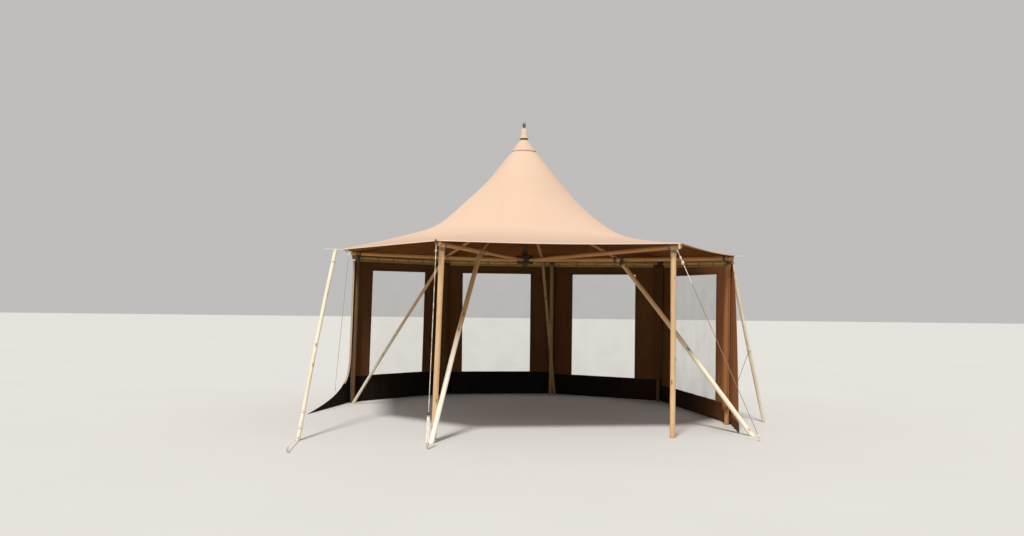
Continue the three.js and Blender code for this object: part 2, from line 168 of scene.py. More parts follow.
sun = bpy.data.objects.new("soft_light", bpy.data.lights.new("soft_light", "SUN"))
sun.data.energy = 3.1
sun.data.angle = math.radians(SUN_SPREAD)
sun.data.color = (1.0, 0.97, 0.92)
sun.rotation_euler = (math.radians(SUN_TILT), 0, math.radians(SUN_TURN))
bpy.context.scene.collection.objects.link(sun)


# Posts: seven round pine poles stood on the ground under the roof corners, each notched at its
# head for the pole that runs in to the hub. The eighth corner, at the fore left, has none.

hub_low, hub_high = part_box("hub")
CENTRE = np.array([(hub_low.x + hub_high.x) / 2, (hub_low.y + hub_high.y) / 2, 0.0])
POST_RING = 3.100
POST_RADIUS = 0.035
HUB_RADIUS = 0.130
SPOKE_HUB_HEIGHT = 2.370
SPOKE_DROP = 0.040
# Corner: azimuth in degrees, radius and height of the canvas corner, the post's lean out and aside
CORNERS = {
    "left": (154.0, 3.250, 2.540, (0.0, 0.125)),
    "back_left": (118.0, 3.190, 2.520, (0.0, 0.0)),
    "back": (80.0, 3.190, 2.520, (0.0, 0.0)),
    "back_right": (40.0, 3.190, 2.500, (0.0, 0.0)),
    "right": (-20.0, 3.190, 2.430, (0.0, 0.0)),
    "front_right": (-52.3, 3.240, 2.525, (0.008, 0.010)),
    "front_left": (-110.4, 3.230, 2.503, (0.028, -0.075)),
    "fore_left": (-146.0, 3.045, 2.437, None),
}
POSTED = [corner for corner in CORNERS if CORNERS[corner][3] is not None]
# A pole's rings, its sawn ends, the waves in its thickness, and its knots
RING_STEP = 0.03
SAWN_EDGE = 0.003
SAWN_LOSS = 0.07
SAWN_FADE = 0.0015
LONG_WAVE = 1.3
SHORT_WAVE = 0.37
OVAL_TWIST = 1.5
KNOTS_PER_METRE = 2.2
MOST_KNOTS = 99
KNOT_RISE = 0.06
KNOT_LENGTH = 0.03
KNOT_WIDTH = 0.4
ANY_PHASE = 6.28
GRAIN_SHIFT = 40
# Between these heights a pole with painted shade changes from its darker colours, painted for the roof's
# shade on its upper part, to its own unshaded ones
PAINTED_SHADE_ABOVE = 1.55
UNSHADED_BELOW = 1.00


def in_plan(azimuth, out, aside, height):
    """A point by its azimuth from the king post, how far out and how far to the side it lies."""
    turn = np.radians(azimuth)
    x = out * np.cos(turn) - aside * np.sin(turn)
    y = out * np.sin(turn) + aside * np.cos(turn)
    return np.stack(np.broadcast_arrays(x, y, height), axis=-1) + CENTRE


def on_spoke(corner, out):
    """A point of the line that a roof pole follows, which falls evenly from its tip to the hub."""
    azimuth, tip, eave, _ = CORNERS[corner]
    share = (out - HUB_RADIUS) / (tip - HUB_RADIUS)
    height = SPOKE_HUB_HEIGHT + (eave - SPOKE_DROP - SPOKE_HUB_HEIGHT) * share
    return in_plan(azimuth, out, 0.0, height)


def unit(vector):
    """The same direction at length 1."""
    return vector / np.linalg.norm(vector, axis=-1, keepdims=True)


def across_of(direction):
    """Two directions square to a line and to each other, so that they turn round it right-handed."""
    aside = np.array([0.0, 0.0, 1.0]) if abs(direction[2]) < 0.9 else np.array([1.0, 0.0, 0.0])
    first = unit(np.cross(aside, direction))
    return first, np.cross(direction, first)


def round_line(first, second, angle):
    """The direction that points away from a line, at each angle round it."""
    return np.cos(angle)[..., None] * first + np.sin(angle)[..., None] * second


def capped(rows, columns):
    """Faces of a wrapped grid, with a fan at each end to a middle point stored after the grid."""
    ring = np.arange(columns)
    beside = (ring + 1) % columns
    last = (rows - 1) * columns
    low = np.stack([beside, ring, np.full(columns, rows * columns)], axis=-1)
    high = np.stack([last + ring, last + beside, np.full(columns, rows * columns + 1)], axis=-1)
    return quads(rows, columns, wrapped=True).tolist() + low.tolist() + high.tolist()


def knots_on(random, distance, angle, length):
    """What the knots add to a pole's thickness: at each, a bell along the pole and round it."""
    bulge = np.zeros(distance.shape)
    places = length * random.uniform(0.05, 1, int(length * KNOTS_PER_METRE))
    turns = random.uniform(0, ANY_PHASE, MOST_KNOTS)
    for place, turn in zip(places, turns):
        apart = np.angle(np.exp(1j * (angle - turn)))
        along_bell = ((distance - place) / KNOT_LENGTH) ** 2
        bulge += KNOT_RISE * np.exp(-along_bell - (apart / KNOT_WIDTH) ** 2)
    return bulge


def pole(name, start, end, radius, seed, stands=False, bow=0.004, sides=28, swell=0.02, toward=None):
    """A round pole as a grid of distance along and angle round. The middle line bows like half a
    sine wave, toward a given side if there is one. The radius is a slow and a quicker wave along
    the pole, plus a flat oval wave round it, plus its knots, and falls away in the last
    millimetres at the sawn ends. A pole that stands on the ground has each of its lines start
    where that line meets the ground."""
    random = np.random.default_rng(seed)
    start = np.asarray(start, float)
    end = np.asarray(end, float)
    length = np.linalg.norm(end - start)
    along = (end - start) / length
    first, second = across_of(along)

    edge = SAWN_EDGE / length
    inner = np.linspace(0, 1, max(8, int(length / RING_STEP)))
    share = np.unique(np.concatenate([[0, edge / 3, edge], inner, [1 - edge, 1 - edge / 3, 1]]))
    angle = np.linspace(0, 2 * np.pi, sides, endpoint=False)
    share, angle = np.meshgrid(share, angle, indexing="ij")
    outward = round_line(first, second, angle)
    begin = -radius * outward[0] @ [0, 0, 1] / along[2] if stands else np.zeros(sides)
    distance = begin * (1 - share) + length * share

    phase = random.uniform(0, 2 * np.pi, 4)
    size = 1 + swell * np.sin(2 * np.pi * distance / LONG_WAVE + phase[0])
    size += 0.4 * swell * np.sin(2 * np.pi * distance / SHORT_WAVE + phase[1])
    size += 0.6 * swell * np.sin(2 * angle + OVAL_TWIST * distance + phase[2])
    size += knots_on(random, distance, angle, length)
    from_end = np.minimum(share, 1 - share) * length
    size *= 1 - SAWN_LOSS * np.exp(-from_end / SAWN_FADE)
    if toward is None:
        aside = np.cos(phase[3]) * first + np.sin(phase[3]) * second
    else:
        aside = unit(np.asarray(toward, float) - np.dot(toward, along) * along)

    sway = bow * np.sin(np.pi * share)
    points = start + distance[..., None] * along + sway[..., None] * aside
    points = points + (radius * size)[..., None] * outward
    if stands:
        points[0, :, 2] = 0.0
    grain = np.stack([radius * size * np.cos(angle), radius * size * np.sin(angle), distance], axis=-1)
    grain = grain + random.uniform(0, GRAIN_SHIFT, 3)
    ends = np.stack([points[0].mean(axis=0), points[-1].mean(axis=0)])
    grain_ends = np.stack([grain[0].mean(axis=0), grain[-1].mean(axis=0)])
    return shape(
        name,
        np.concatenate([points.reshape(-1, 3), ends]),
        capped(len(points), sides),
        {"grain": np.concatenate([grain.reshape(-1, 3), grain_ends])},
    )


def mixed(material, factor, first, second):
    """One colour over another, by a factor, a value or a socket."""
    made = material.node_tree.nodes.new("ShaderNodeMix")
    made.data_type = "RGBA"
    sockets = (made.inputs[0], made.inputs[6], made.inputs[7])
    for socket, value in zip(sockets, (factor, first, second)):
        if isinstance(value, bpy.types.NodeSocket):
            material.node_tree.links.new(value, socket)
        elif hasattr(value, "__len__"):
            socket.default_value = (*value, 1)
        else:
            socket.default_value = value
    return made.outputs[2]


def stretched(material, vector, scale):
    """The same coordinates, drawn out or closed up along each axis."""
    return node(material, "ShaderNodeMapping", Vector=vector, Scale=scale).outputs["Vector"]


def raised(material, height, depth, strength=1.0):
    """A normal that follows a height from 0 to 1, depth metres high."""
    made = node(material, "ShaderNodeBump", Height=height, Distance=depth, Strength=strength)
    return made.outputs["Normal"]


def carried(material, label):
    """The vectors that a piece's points carry under a name."""
    made = material.node_tree.nodes.new("ShaderNodeAttribute")
    made.attribute_name = label
    return made.outputs["Vector"]


def height_in(material, place):
    """The upright part of a place."""
    return node(material, "ShaderNodeSeparateXYZ", Vector=place).outputs["Z"]


def pole_finish(name, light, dark, streak, knot, roughness, specular=0.3, unshaded_tones=None):
    """Peeled and weathered pole: long fine fibres over broad patches of tone, thin dark drying
    cracks along the pole, and small dark knots. Where there are unshaded tones, the given colours
    are painted shade, for the roof's shade on the pole's upper part, and the unshaded tones take
    over evenly from the height that the roof shades down to the one that the sun reaches. The
    grain runs along the third of the coordinates that each pole carries."""
    material = new_finish(name, Roughness=roughness, Specular_IOR_Level=specular)
    grain = carried(material, "grain")
    broad = noise(material, stretched(material, grain, (1, 1, 0.22)), scale=11, detail=3)
    fibre = noise(material, stretched(material, grain, (1, 1, 0.02)), scale=240, detail=5, roughness=0.6)
    crack = noise(material, stretched(material, grain, (1, 1, 0.035)), scale=90, detail=2)
    patches = ramp(material, broad, (0.3, 0.0), (0.72, 1.0))
    colour = mixed(material, patches, light, dark)
    colour = mixed(material, ramp(material, fibre, (0.42, 0.0), (0.75, 0.75)), colour, streak)
    # Painted shade: above the first height the pole keeps its darker given colours, for the roof's shade.
    if unshaded_tones:
        out_of_painted_shade = node(
            material, "ShaderNodeMapRange", Value=height_in(material, in_object(material)),
            From_Min=PAINTED_SHADE_ABOVE, From_Max=UNSHADED_BELOW,
        ).outputs["Result"]
        grey = mixed(material, ramp(material, fibre, (0.35, 0.0), (0.85, 0.6)), unshaded_tones[0], unshaded_tones[1])
        colour = mixed(material, out_of_painted_shade, colour, mixed(material, patches, unshaded_tones[0], grey))
    colour = mixed(material, ramp(material, crack, (0.70, 0.0), (0.76, 0.8)), colour, knot)
    knots = node(
        material, "ShaderNodeTexVoronoi", Vector=stretched(material, grain, (1, 1, 0.34)), Scale=11.0
    ).outputs["Distance"]
    colour = mixed(material, ramp(material, knots, (0.07, 0.85), (0.17, 0.0)), colour, knot)
    relief = mixed(material, 0.5, fibre, ramp(material, crack, (0.68, 1.0), (0.76, 0.0)))
    wire(material, Base_Color=colour, Normal=raised(material, relief, depth=0.0012, strength=0.7))
    return material


def fit(piece, material, node_name):
    """Gives a piece its finish and its body, and hides the solid that it stands for."""
    piece.data.materials.append(material)
    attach(piece, "root")
    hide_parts(node_name)


pine = pole_finish(
    "pine", light=(0.80, 0.545, 0.305), dark=(0.68, 0.430, 0.220),
    streak=(0.48, 0.28, 0.13), knot=(0.20, 0.10, 0.045), roughness=0.55,
)
# Painted shade: the next two finishes are dark browns that stand for the shade on the posts at the left
# and the back.
painted_shade_pine = pole_finish(
    "painted_shade_pine", light=(0.17, 0.085, 0.036), dark=(0.12, 0.058, 0.024),
    streak=(0.08, 0.036, 0.016), knot=(0.04, 0.02, 0.01), roughness=0.7,
)
shaded_pine = pole_finish(
    "shaded_pine", light=(0.40, 0.26, 0.11), dark=(0.30, 0.185, 0.075),
    streak=(0.20, 0.115, 0.045), knot=(0.09, 0.045, 0.02), roughness=0.6,
)
ruddy_pine = pole_finish(
    "ruddy_pine", light=(0.58, 0.29, 0.130), dark=(0.47, 0.22, 0.095),
    streak=(0.33, 0.15, 0.065), knot=(0.14, 0.06, 0.03), roughness=0.6,
)
# The left and back posts take the painted shade; the right post has its own ruddy wood.
POST_FINISHES = {
    "left": painted_shade_pine, "back_left": painted_shade_pine, "back": shaded_pine,
    "back_right": painted_shade_pine, "right": ruddy_pine,
}


def post_foot(corner):
    """Where a corner's post stands."""
    azimuth, _, _, (lean_out, lean_aside) = CORNERS[corner]
    return in_plan(azimuth, POST_RING + lean_out, lean_aside, 0.0)


for seed, corner in enumerate(POSTED, 10):
    head = on_spoke(corner, POST_RING)
    post = pole("post_pole_" + corner, post_foot(corner), head, POST_RADIUS, seed, stands=True)
    fit(post, POST_FINISHES.get(corner, pine), "post_" + corner)


# Spokes: seven round pine poles from just under the canvas corners in to the hub. Each is a
# thick outer pole over a post, spliced to a thinner inner one that is let in to the hub.

SPOKE_INSET = 0.015
SPOKE_OUTER = 0.031
SPOKE_INNER = 0.024
SPOKE_ROOT = 0.070
SPOKE_LAP = 0.040
# Corner: how far out the thinner pole gives way to the thicker one
SPLICE = {
    "left": 0.250, "back_left": 0.900, "back": 0.900, "back_right": 0.900,
    "right": 0.900, "front_right": 0.565, "front_left": 1.594,
}
honey_pine = pole_finish(
    "honey_pine", light=(0.58, 0.30, 0.105), dark=(0.48, 0.225, 0.075),
    streak=(0.33, 0.15, 0.05), knot=(0.16, 0.07, 0.03), roughness=0.55,
)
for index, (corner, splice) in enumerate(SPLICE.items()):
    tip = on_spoke(corner, CORNERS[corner][1] - SPOKE_INSET)
    outer = pole("spoke_outer_" + corner, on_spoke(corner, splice), tip, SPOKE_OUTER, 30 + index)
    root = on_spoke(corner, SPOKE_ROOT)
    lap = on_spoke(corner, splice + SPOKE_LAP)
    inner = pole("spoke_inner_" + corner, root, lap, SPOKE_INNER, 40 + index, bow=0.001)
    fit(outer, honey_pine, "spoke_" + corner)
    fit(inner, honey_pine, "spoke_" + corner)


# King post: a round pine post, smoked dark, that rises from the hub to the crown and holds up
# the peak of the canvas. It leans a little to the left.

KING_RADIUS = 0.042
KING_FOOT = 2.270
KING_HEAD = 4.150
KING_LEAN = -0.035


def on_king_post(height):
    """The middle of the king post at a height."""
    share = (height - KING_FOOT) / (KING_HEAD - KING_FOOT)
    return CENTRE + [KING_LEAN * share, 0, height]


king = pole(
    "king_pole", on_king_post(KING_FOOT), on_king_post(KING_HEAD), KING_RADIUS, 50, bow=0.0, swell=0.01
)
smoked_pine = pole_finish(
    "smoked_pine", light=(0.11, 0.06, 0.03), dark=(0.08, 0.042, 0.02),
    streak=(0.07, 0.035, 0.018), knot=(0.03, 0.015, 0.008), roughness=0.7, specular=0.1,
)
fit(king, smoked_pine, "king_post")


# Hub: the dark turned block of hardwood that every roof pole is let in to. It is a little
# thicker round its top and its bottom edge than at its waist.

HUB_BOTTOM = 2.310
HUB_MIDDLE = 2.375
HUB_TOP = 2.440
HUB_BORE = 0.060
HUB_WAIST = 0.122


def turned(name, outline, sides=48, middle=CENTRE):
    """A lathe shape on a grid of outline point and angle: each outline point, as radius and
    height, is carried round the upright axis."""
    outline = np.asarray(outline, float)
    angle = np.linspace(0, 2 * np.pi, sides, endpoint=False)
    radius, height = outline[:, :1], outline[:, 1:]
    local = np.stack(np.broadcast_arrays(radius * np.cos(angle), radius * np.sin(angle), height), axis=-1)
    points = local + middle
    ends = np.stack([points[0].mean(axis=0), points[-1].mean(axis=0)])
    local_ends = np.array([[0, 0, outline[0, 1]], [0, 0, outline[-1, 1]]])
    return shape(
        name,
        np.concatenate([points.reshape(-1, 3), ends]),
        capped(len(outline), sides),
        {"grain": np.concatenate([local.reshape(-1, 3), local_ends])},
    )


hub_outline = [
    (HUB_BORE, HUB_BOTTOM), (HUB_WAIST, HUB_BOTTOM), (0.128, HUB_BOTTOM + 0.006),
    (HUB_RADIUS, HUB_BOTTOM + 0.012), (HUB_RADIUS, HUB_BOTTOM + 0.030), (0.124, HUB_BOTTOM + 0.034),
    (HUB_WAIST, HUB_MIDDLE),
    (0.124, HUB_TOP - 0.034), (HUB_RADIUS, HUB_TOP - 0.030), (HUB_RADIUS, HUB_TOP - 0.012),
    (0.128, HUB_TOP - 0.006), (HUB_WAIST, HUB_TOP), (HUB_BORE, HUB_TOP),
]
hub = turned("hub_block", hub_outline, sides=64)
hub_wood = pole_finish(
    "hub_wood", light=(0.075, 0.045, 0.028), dark=(0.05, 0.030, 0.020),
    streak=(0.03, 0.018, 0.012), knot=(0.012, 0.008, 0.006), roughness=0.7, specular=0.1,
)
fit(hub, hub_wood, "hub")


# Struts: four weathered round poles that rake up from the ground to a roof pole, and from each
# of them a thin brace goes on up to the king post.

BRACE_RADIUS = 0.023
# Corner: radius of the joint, the foot out and aside, the brace's height on the king post, the
# strut's own radius, and how far and toward which side it bows
STRUTS = {
    "left": (1.420, (3.035, 0.196), 3.210, 0.024, 0.010, (-1, 0, 0)),
    "back": (1.900, (3.060, -0.080), 3.330, 0.024, 0.004, (-1, 0, 0)),
    "right": (1.486, (3.582, -1.056), 3.190, 0.032, 0.012, (1, 0, 1)),
    "front_left": (1.820, (3.369, 0.007), 3.350, 0.032, 0.017, (-1, 0, 0)),
}
# Painted shade: these two strut finishes are darker on their upper parts, for the roof's shade; lower down
# they have the poles' own colours, bleached on the first and weathered grey on the second.
painted_shade_bleached = pole_finish(
    "painted_shade_bleached_pine", light=(0.60, 0.38, 0.17), dark=(0.48, 0.29, 0.12),
    streak=(0.33, 0.18, 0.08), knot=(0.16, 0.09, 0.05), roughness=0.65,
    unshaded_tones=((0.88, 0.82, 0.70), (0.72, 0.64, 0.50)),
)
painted_shade_weathered_pine = pole_finish(
    "painted_shade_weathered_pine", light=(0.82, 0.54, 0.28), dark=(0.68, 0.42, 0.21),
    streak=(0.46, 0.26, 0.13), knot=(0.18, 0.10, 0.055), roughness=0.65,
    unshaded_tones=((0.78, 0.71, 0.56), (0.62, 0.54, 0.40)),
)
STRUT_FINISHES = {
    "left": painted_shade_weathered_pine, "back": shaded_pine, "right": painted_shade_weathered_pine, "front_left": painted_shade_bleached,
}


def strut_ends(corner):
    """Where a strut stands, and where it meets its roof pole."""
    joint_out, (out, aside) = STRUTS[corner][:2]
    return in_plan(CORNERS[corner][0], out, aside, 0.0), on_spoke(corner, joint_out)


for index, (corner, (_, _, brace_height, radius, bow, toward)) in enumerate(STRUTS.items()):
    foot, joint = strut_ends(corner)
    strut = pole(
        "strut_pole_" + corner, foot, joint, radius, 60 + index, stands=True, bow=bow, toward=toward
    )
    brace = pole("brace_pole_" + corner, joint, on_king_post(brace_height), BRACE_RADIUS, 70 + index)
    fit(strut, STRUT_FINISHES[corner], "strut_" + corner)
    fit(brace, honey_pine, "brace_" + corner)


# Rails: four round poles tied just outside the back posts. The side walls hang from them.

RAIL_RADIUS = 0.025
RAIL_OUTSET = 0.058
RAIL_DROP = 0.062
RAIL_GAP = 0.020
# Bay: the corners at its ends, the canvas on either side of its window, the window's sill and
# head, and how far its first end is set over at the ground
BAYS = {
    "left": ("left", "back_left", (0.380, 0.378), 0.430, 2.220, 0.085),
    "back_left": ("back_left", "back", (0.385, 0.400), 0.410, 2.220, 0.0),
    "back_right": ("back", "back_right", (0.415, 0.490), 0.370, 2.215, 0.0),
    "right": ("back_right", "right", (0.600, 0.610), 0.280, 2.178, 0.0),
}


def rail_height(corner):
    """The height of the rails at a post."""
    return on_spoke(corner, POST_RING)[2] - RAIL_DROP


def bay_frame(bay):
    """A bay's middle on the ground, its direction along the rail and out, its half width, and the
    heights of its rail's ends."""
    start, end = BAYS[bay][:2]
    azimuths = CORNERS[start][0], CORNERS[end][0]
    half = math.radians((azimuths[0] - azimuths[1]) / 2)
    facing = sum(azimuths) / 2
    middle = in_plan(facing, POST_RING * math.cos(half) + RAIL_OUTSET, 0.0, 0.0)
    along = in_plan(facing - 90, 1.0, 0.0, 0.0) - CENTRE
    out = in_plan(facing, 1.0, 0.0, 0.0) - CENTRE
    reach = POST_RING * math.sin(half) + RAIL_OUTSET * math.tan(half)
    return middle, along, out, reach, [rail_height(start), rail_height(end)]


rail_pine = pole_finish(
    "rail_pine", light=(0.66, 0.47, 0.19), dark=(0.54, 0.36, 0.13),
    streak=(0.36, 0.24, 0.11), knot=(0.16, 0.09, 0.045), roughness=0.6,
)
for seed, bay in enumerate(BAYS, 80):
    middle, along, _, reach, (from_height, to_height) = bay_frame(bay)
    half_rail = (reach - RAIL_GAP) * along
    start = middle - half_rail + [0, 0, from_height]
    end = middle + half_rail + [0, 0, to_height]
    rail = pole("rail_pole_" + bay, start, end, RAIL_RADIUS, seed)
    fit(rail, rail_pine, "rail_" + bay)


# Lashings: thin cord wound tightly round the joints, one at each post's head, one where each
# strut meets its roof pole, and loops at even steps that tie the walls' heads to the rails.

LACE_RADIUS = 0.0035
LASHING_OFF = 0.062
STRUT_LACE = 1.3 * LACE_RADIUS
STRUT_LASHING_OFF = 0.078
STRUT_SPREAD = 0.060
SECOND_LASHING_OFF = 0.125
TIE_RADIUS = 0.0028
TIES = 6
TIE_INSET = 0.14
TIE_DROP = 0.012
TURN_POINTS = 14
LAY = 0.045
CORD_LAY = 0.020
# A direction that no rope here runs in, which its cross-sections are turned from
ROPE_REFERENCE = np.array([0.31, 0.87, 0.12])


def run_of(path):
    """How far along a path each of its points is."""
    return np.concatenate([[0], np.cumsum(np.linalg.norm(np.diff(path, axis=0), axis=1))])


def rope(path, radius, pitch=LAY, sides=12):
    """A laid rope as a grid of distance along its path and angle round it: the radius has three
    humps round it, one to a strand, which turn once in each pitch. Returns points and faces."""
    path = np.asarray(path, float)
    tangent = unit(np.gradient(path, axis=0))
    first = unit(np.cross(tangent, ROPE_REFERENCE))
    second = np.cross(tangent, first)
    angle = np.linspace(0, 2 * np.pi, sides, endpoint=False)[None, :]
    strand = 1.5 * (angle - 2 * np.pi * run_of(path)[:, None] / pitch / 3)
    size = radius * (0.80 + 0.22 * np.abs(np.cos(strand)))
    points = path[:, None] + size[..., None] * round_line(first[:, None], second[:, None], angle)
    ends = np.stack([path[0], path[-1]])
    return np.concatenate([points.reshape(-1, 3), ends]), capped(len(path), sides)


def together(name, parts):
    """One mesh of several closed parts, each given as its points and faces."""
    starts = np.cumsum([0] + [len(points) for points, _ in parts])
    faces = [
        [corner + start for corner in face]
        for (_, part), start in zip(parts, starts) for face in part
    ]
    return shape(name, np.concatenate([points for points, _ in parts]), faces)


def wound(middle, axis, radius, cord, turns, seed):
    """Cord wound round a pole: a helix that climbs one cord's width in each turn, and wavers a
    little so that the turns lie unevenly."""
    random = np.random.default_rng(seed)
    axis = unit(np.asarray(axis, float))
    first, second = across_of(axis)
    turn = np.linspace(0, turns, int(turns * TURN_POINTS) + 1)
    climb = (turn - turns / 2) * cord * 2.05
    climb = climb + 0.35 * cord * np.sin(turn * 2 * np.pi * 0.31 + random.uniform(0, 6))
    reach = radius + cord * (0.9 + 0.25 * np.sin(turn * 2 * np.pi * 0.43 + random.uniform(0, 6)))
    spin = round_line(first, second, 2 * np.pi * turn)
    return rope(middle + climb[:, None] * axis + reach[:, None] * spin, cord, CORD_LAY, sides=6)


def cord_finish(name, light, dark, patches=45.0):
    """Twisted cord: fine fibres in two tones with a fuzzy, matte face."""
    material = new_finish(name, Roughness=0.9, Sheen_Weight=0.25)
    tone = noise(material, in_object(material), patches, detail=3)
    hair = noise(material, in_object(material), scale=900.0, detail=2)
    colour = ramp(material, tone, (0.3, dark), (0.7, light))
    wire(material, Base_Color=colour, Normal=raised(material, hair, depth=0.0008, strength=0.6))
    return material


tarred_cord = cord_finish("tarred_cord", light=(0.10, 0.060, 0.035), dark=(0.045, 0.028, 0.018))
hemp_cord = cord_finish("hemp_cord", light=(0.36, 0.24, 0.14), dark=(0.25, 0.16, 0.09))
orange_cord = cord_finish("orange_cord", light=(0.55, 0.22, 0.08), dark=(0.38, 0.14, 0.05))
for index, corner in enumerate(POSTED):
    head = on_spoke(corner, POST_RING)
    post_axis = head - post_foot(corner)
    spoke_axis = on_spoke(corner, POST_RING + 0.05) - on_spoke(corner, POST_RING - 0.05)
    below = head - LASHING_OFF * unit(post_axis)
    inside = on_spoke(corner, POST_RING - LASHING_OFF)
    turns = [
        wound(below, post_axis, POST_RADIUS + 0.001, LACE_RADIUS, 6, 200 + index),
        wound(inside, spoke_axis, SPOKE_OUTER + 0.001, LACE_RADIUS, 5, 210 + index),
    ]
    cord = hemp_cord if "front" in corner else tarred_cord
    fit(together("post_lashing_" + corner, turns), cord, "post_" + corner)
for index, (corner, (joint_out, _, _, radius, _, _)) in enumerate(STRUTS.items()):
    foot, joint = strut_ends(corner)
    strut_axis = unit(foot - joint)
    spoke_axis = unit(on_spoke(corner, joint_out + 0.1) - joint)
    on_strut = joint + STRUT_LASHING_OFF * strut_axis
    turns = [wound(on_strut, strut_axis, radius + 0.001, STRUT_LACE, 7, 220 + index)]
    for seed, side in ((230, 1), (240, -1)):
        spot = joint + side * STRUT_SPREAD * spoke_axis
        turns.append(wound(spot, spoke_axis, SPOKE_OUTER + 0.002, STRUT_LACE, 4, seed + index))
    cord = tarred_cord if corner == "right" else hemp_cord
    fit(together("strut_lashing_" + corner, turns), cord, "strut_" + corner)
    if corner == "right":
        spot = joint + SECOND_LASHING_OFF * strut_axis
        second_turns = wound(spot, strut_axis, radius + 0.001, STRUT_LACE, 3, 245)
        fit(together("strut_cord_right", [second_turns]), orange_cord, "strut_right")
for index, bay in enumerate(BAYS):
    middle, along, _, reach, (from_height, to_height) = bay_frame(bay)
    loops = []
    for step, place in enumerate(np.linspace(TIE_INSET - reach, reach - TIE_INSET, TIES)):
        height = from_height + (to_height - from_height) * (place + reach) / (2 * reach)
        spot = middle + place * along + [0, 0, height - TIE_DROP]
        tilt = along + 0.3 * math.sin(7 * place + index) * np.array([0, 0, 1.0])
        loops.append(wound(spot, tilt, RAIL_RADIUS + 0.009, TIE_RADIUS, 2, 250 + 10 * index + step))
    fit(together("rail_ties_" + bay, loops), tarred_cord, "rail_" + bay)


# Canopy: one big cover of proofed cotton canvas, sewn up from eight gores with flat seams and
# stretched from the crown to the eight corners. Its edge is turned down in a webbing hem that is
# darker along one bay.

CROWN_RADIUS = 0.120
EAVE_HEIGHT = 2.490
ROOF_REACH = 3.330
ROOF_SLOPE = 0.410
BELL_HEIGHT = 1.265
BELL_SPREAD = 0.800
BELL_POWER = 1.63
CROWN_STEADY = 0.022
CROWN_SETTLED = 0.25
TAUT_BAY = "front_left"
BAY_SAG = 0.022
# Where the cloth stands fuller or falls in: how much, how far out, how wide, toward which azimuth
SWELLS = [(0.108, 0.915, 0.360, 180), (0.048, 1.950, 0.800, 180), (-0.044, 1.530, 0.380, 0)]
CLOTH_THICKNESS = 0.004
ROOF_RINGS = 101
NEAR_SEAM = np.array([0.0, 0.0035, 0.007, 0.012, 0.022])
HALF_GORE = np.concatenate([NEAR_SEAM, np.linspace(0.04, 0.46, 8), 0.5 - NEAR_SEAM[:0:-1]])
GORE = np.concatenate([HALF_GORE, 0.5 + HALF_GORE])
SEAM_SPREAD = 0.011
SEAM_RISE = 0.0010
CREASES = 13
CREASE_REACH = 0.28
CREASE_RISE = 0.0065
UNEVEN_RISE = 0.004
# Between these shares of the way out from the crown, the roof canvas changes to its second tone, a darker
# one, towards the eave.
DARKENS_FROM = 0.42
DARKENED_BY = 0.95
STITCH_HALF = 0.0011
STITCHES_PER_METRE = 140.0
STITCH_SHARE = 0.68
STITCH_ROWS = (0.004, 0.010)


def smooth_step(low, high, value):
    """0 up to a low value, 1 from a high one on, and an S-shaped cubic between them."""
    share = np.clip((value - low) / (high - low), 0, 1)
    return share * share * (3 - 2 * share)


def roof_bell(radius):
    """The steep part round the crown: a bell that falls off a little more slowly than the usual."""
    return BELL_HEIGHT * np.exp(-((radius / BELL_SPREAD) ** BELL_POWER))


def roof_height(radius):
    """A straight slope plus a bell that dies away towards the eave."""
    return EAVE_HEIGHT + ROOF_SLOPE * (1 - radius / ROOF_REACH) + roof_bell(radius) - roof_bell(ROOF_REACH)


def roof_point(bay_share, ring_share):
    """The canvas as a function of how far round it a point is, counted in bays from the left
    corner, and how far along from crown to eave. The crown is round and over the leaning king
    post, the eave is eight-sided, and between them the outline changes smoothly from one to the
    other. A propped corner lifts only the cloth near it, and a low one draws more of it down."""
    names = list(CORNERS)
    azimuths, tips, eaves = np.array([CORNERS[corner][:3] for corner in names]).T
    sags = np.array([0.0 if corner == TAUT_BAY else BAY_SAG for corner in names])
    bay = np.floor(bay_share).astype(int) % 8
    after = (bay + 1) % 8
    share = bay_share - np.floor(bay_share)
    gap = (azimuths[bay] - azimuths[after]) % 360
    azimuth = azimuths[bay] - gap * share
    gap = np.radians(gap)
    chord = np.sin(gap) / (np.sin(gap * (1 - share)) / tips[bay] + np.sin(gap * share) / tips[after])
    ridge = CROWN_RADIUS + (ROOF_REACH - CROWN_RADIUS) * ring_share
    radius = ridge * (1 + smooth_step(0.25, 1.0, ring_share) * (chord / ROOF_REACH - 1))
    rise = eaves[bay] + (eaves[after] - eaves[bay]) * share - EAVE_HEIGHT
    lift = rise * np.where(rise > 0, ring_share**10, ring_share**3)
    sag = sags[bay] * np.sin(np.pi * share) * ring_share**4
    height = roof_height(ridge) + lift - sag
    for amount, out, width, toward in SWELLS:
        round_it = ((1 + np.cos(np.radians(azimuth - toward))) / 2) ** 2
        height = height + amount * round_it * np.exp(-(((ridge - out) / width) ** 2))
    points = in_plan(azimuth, radius, 0.0, height)
    points[..., 0] += KING_LEAN * (1 - smooth_step(CROWN_STEADY, CROWN_SETTLED, ring_share))
    return points


def bay_width(ring_share):
    """About how wide a bay is, in metres."""
    return 2.4 * ring_share + 0.1


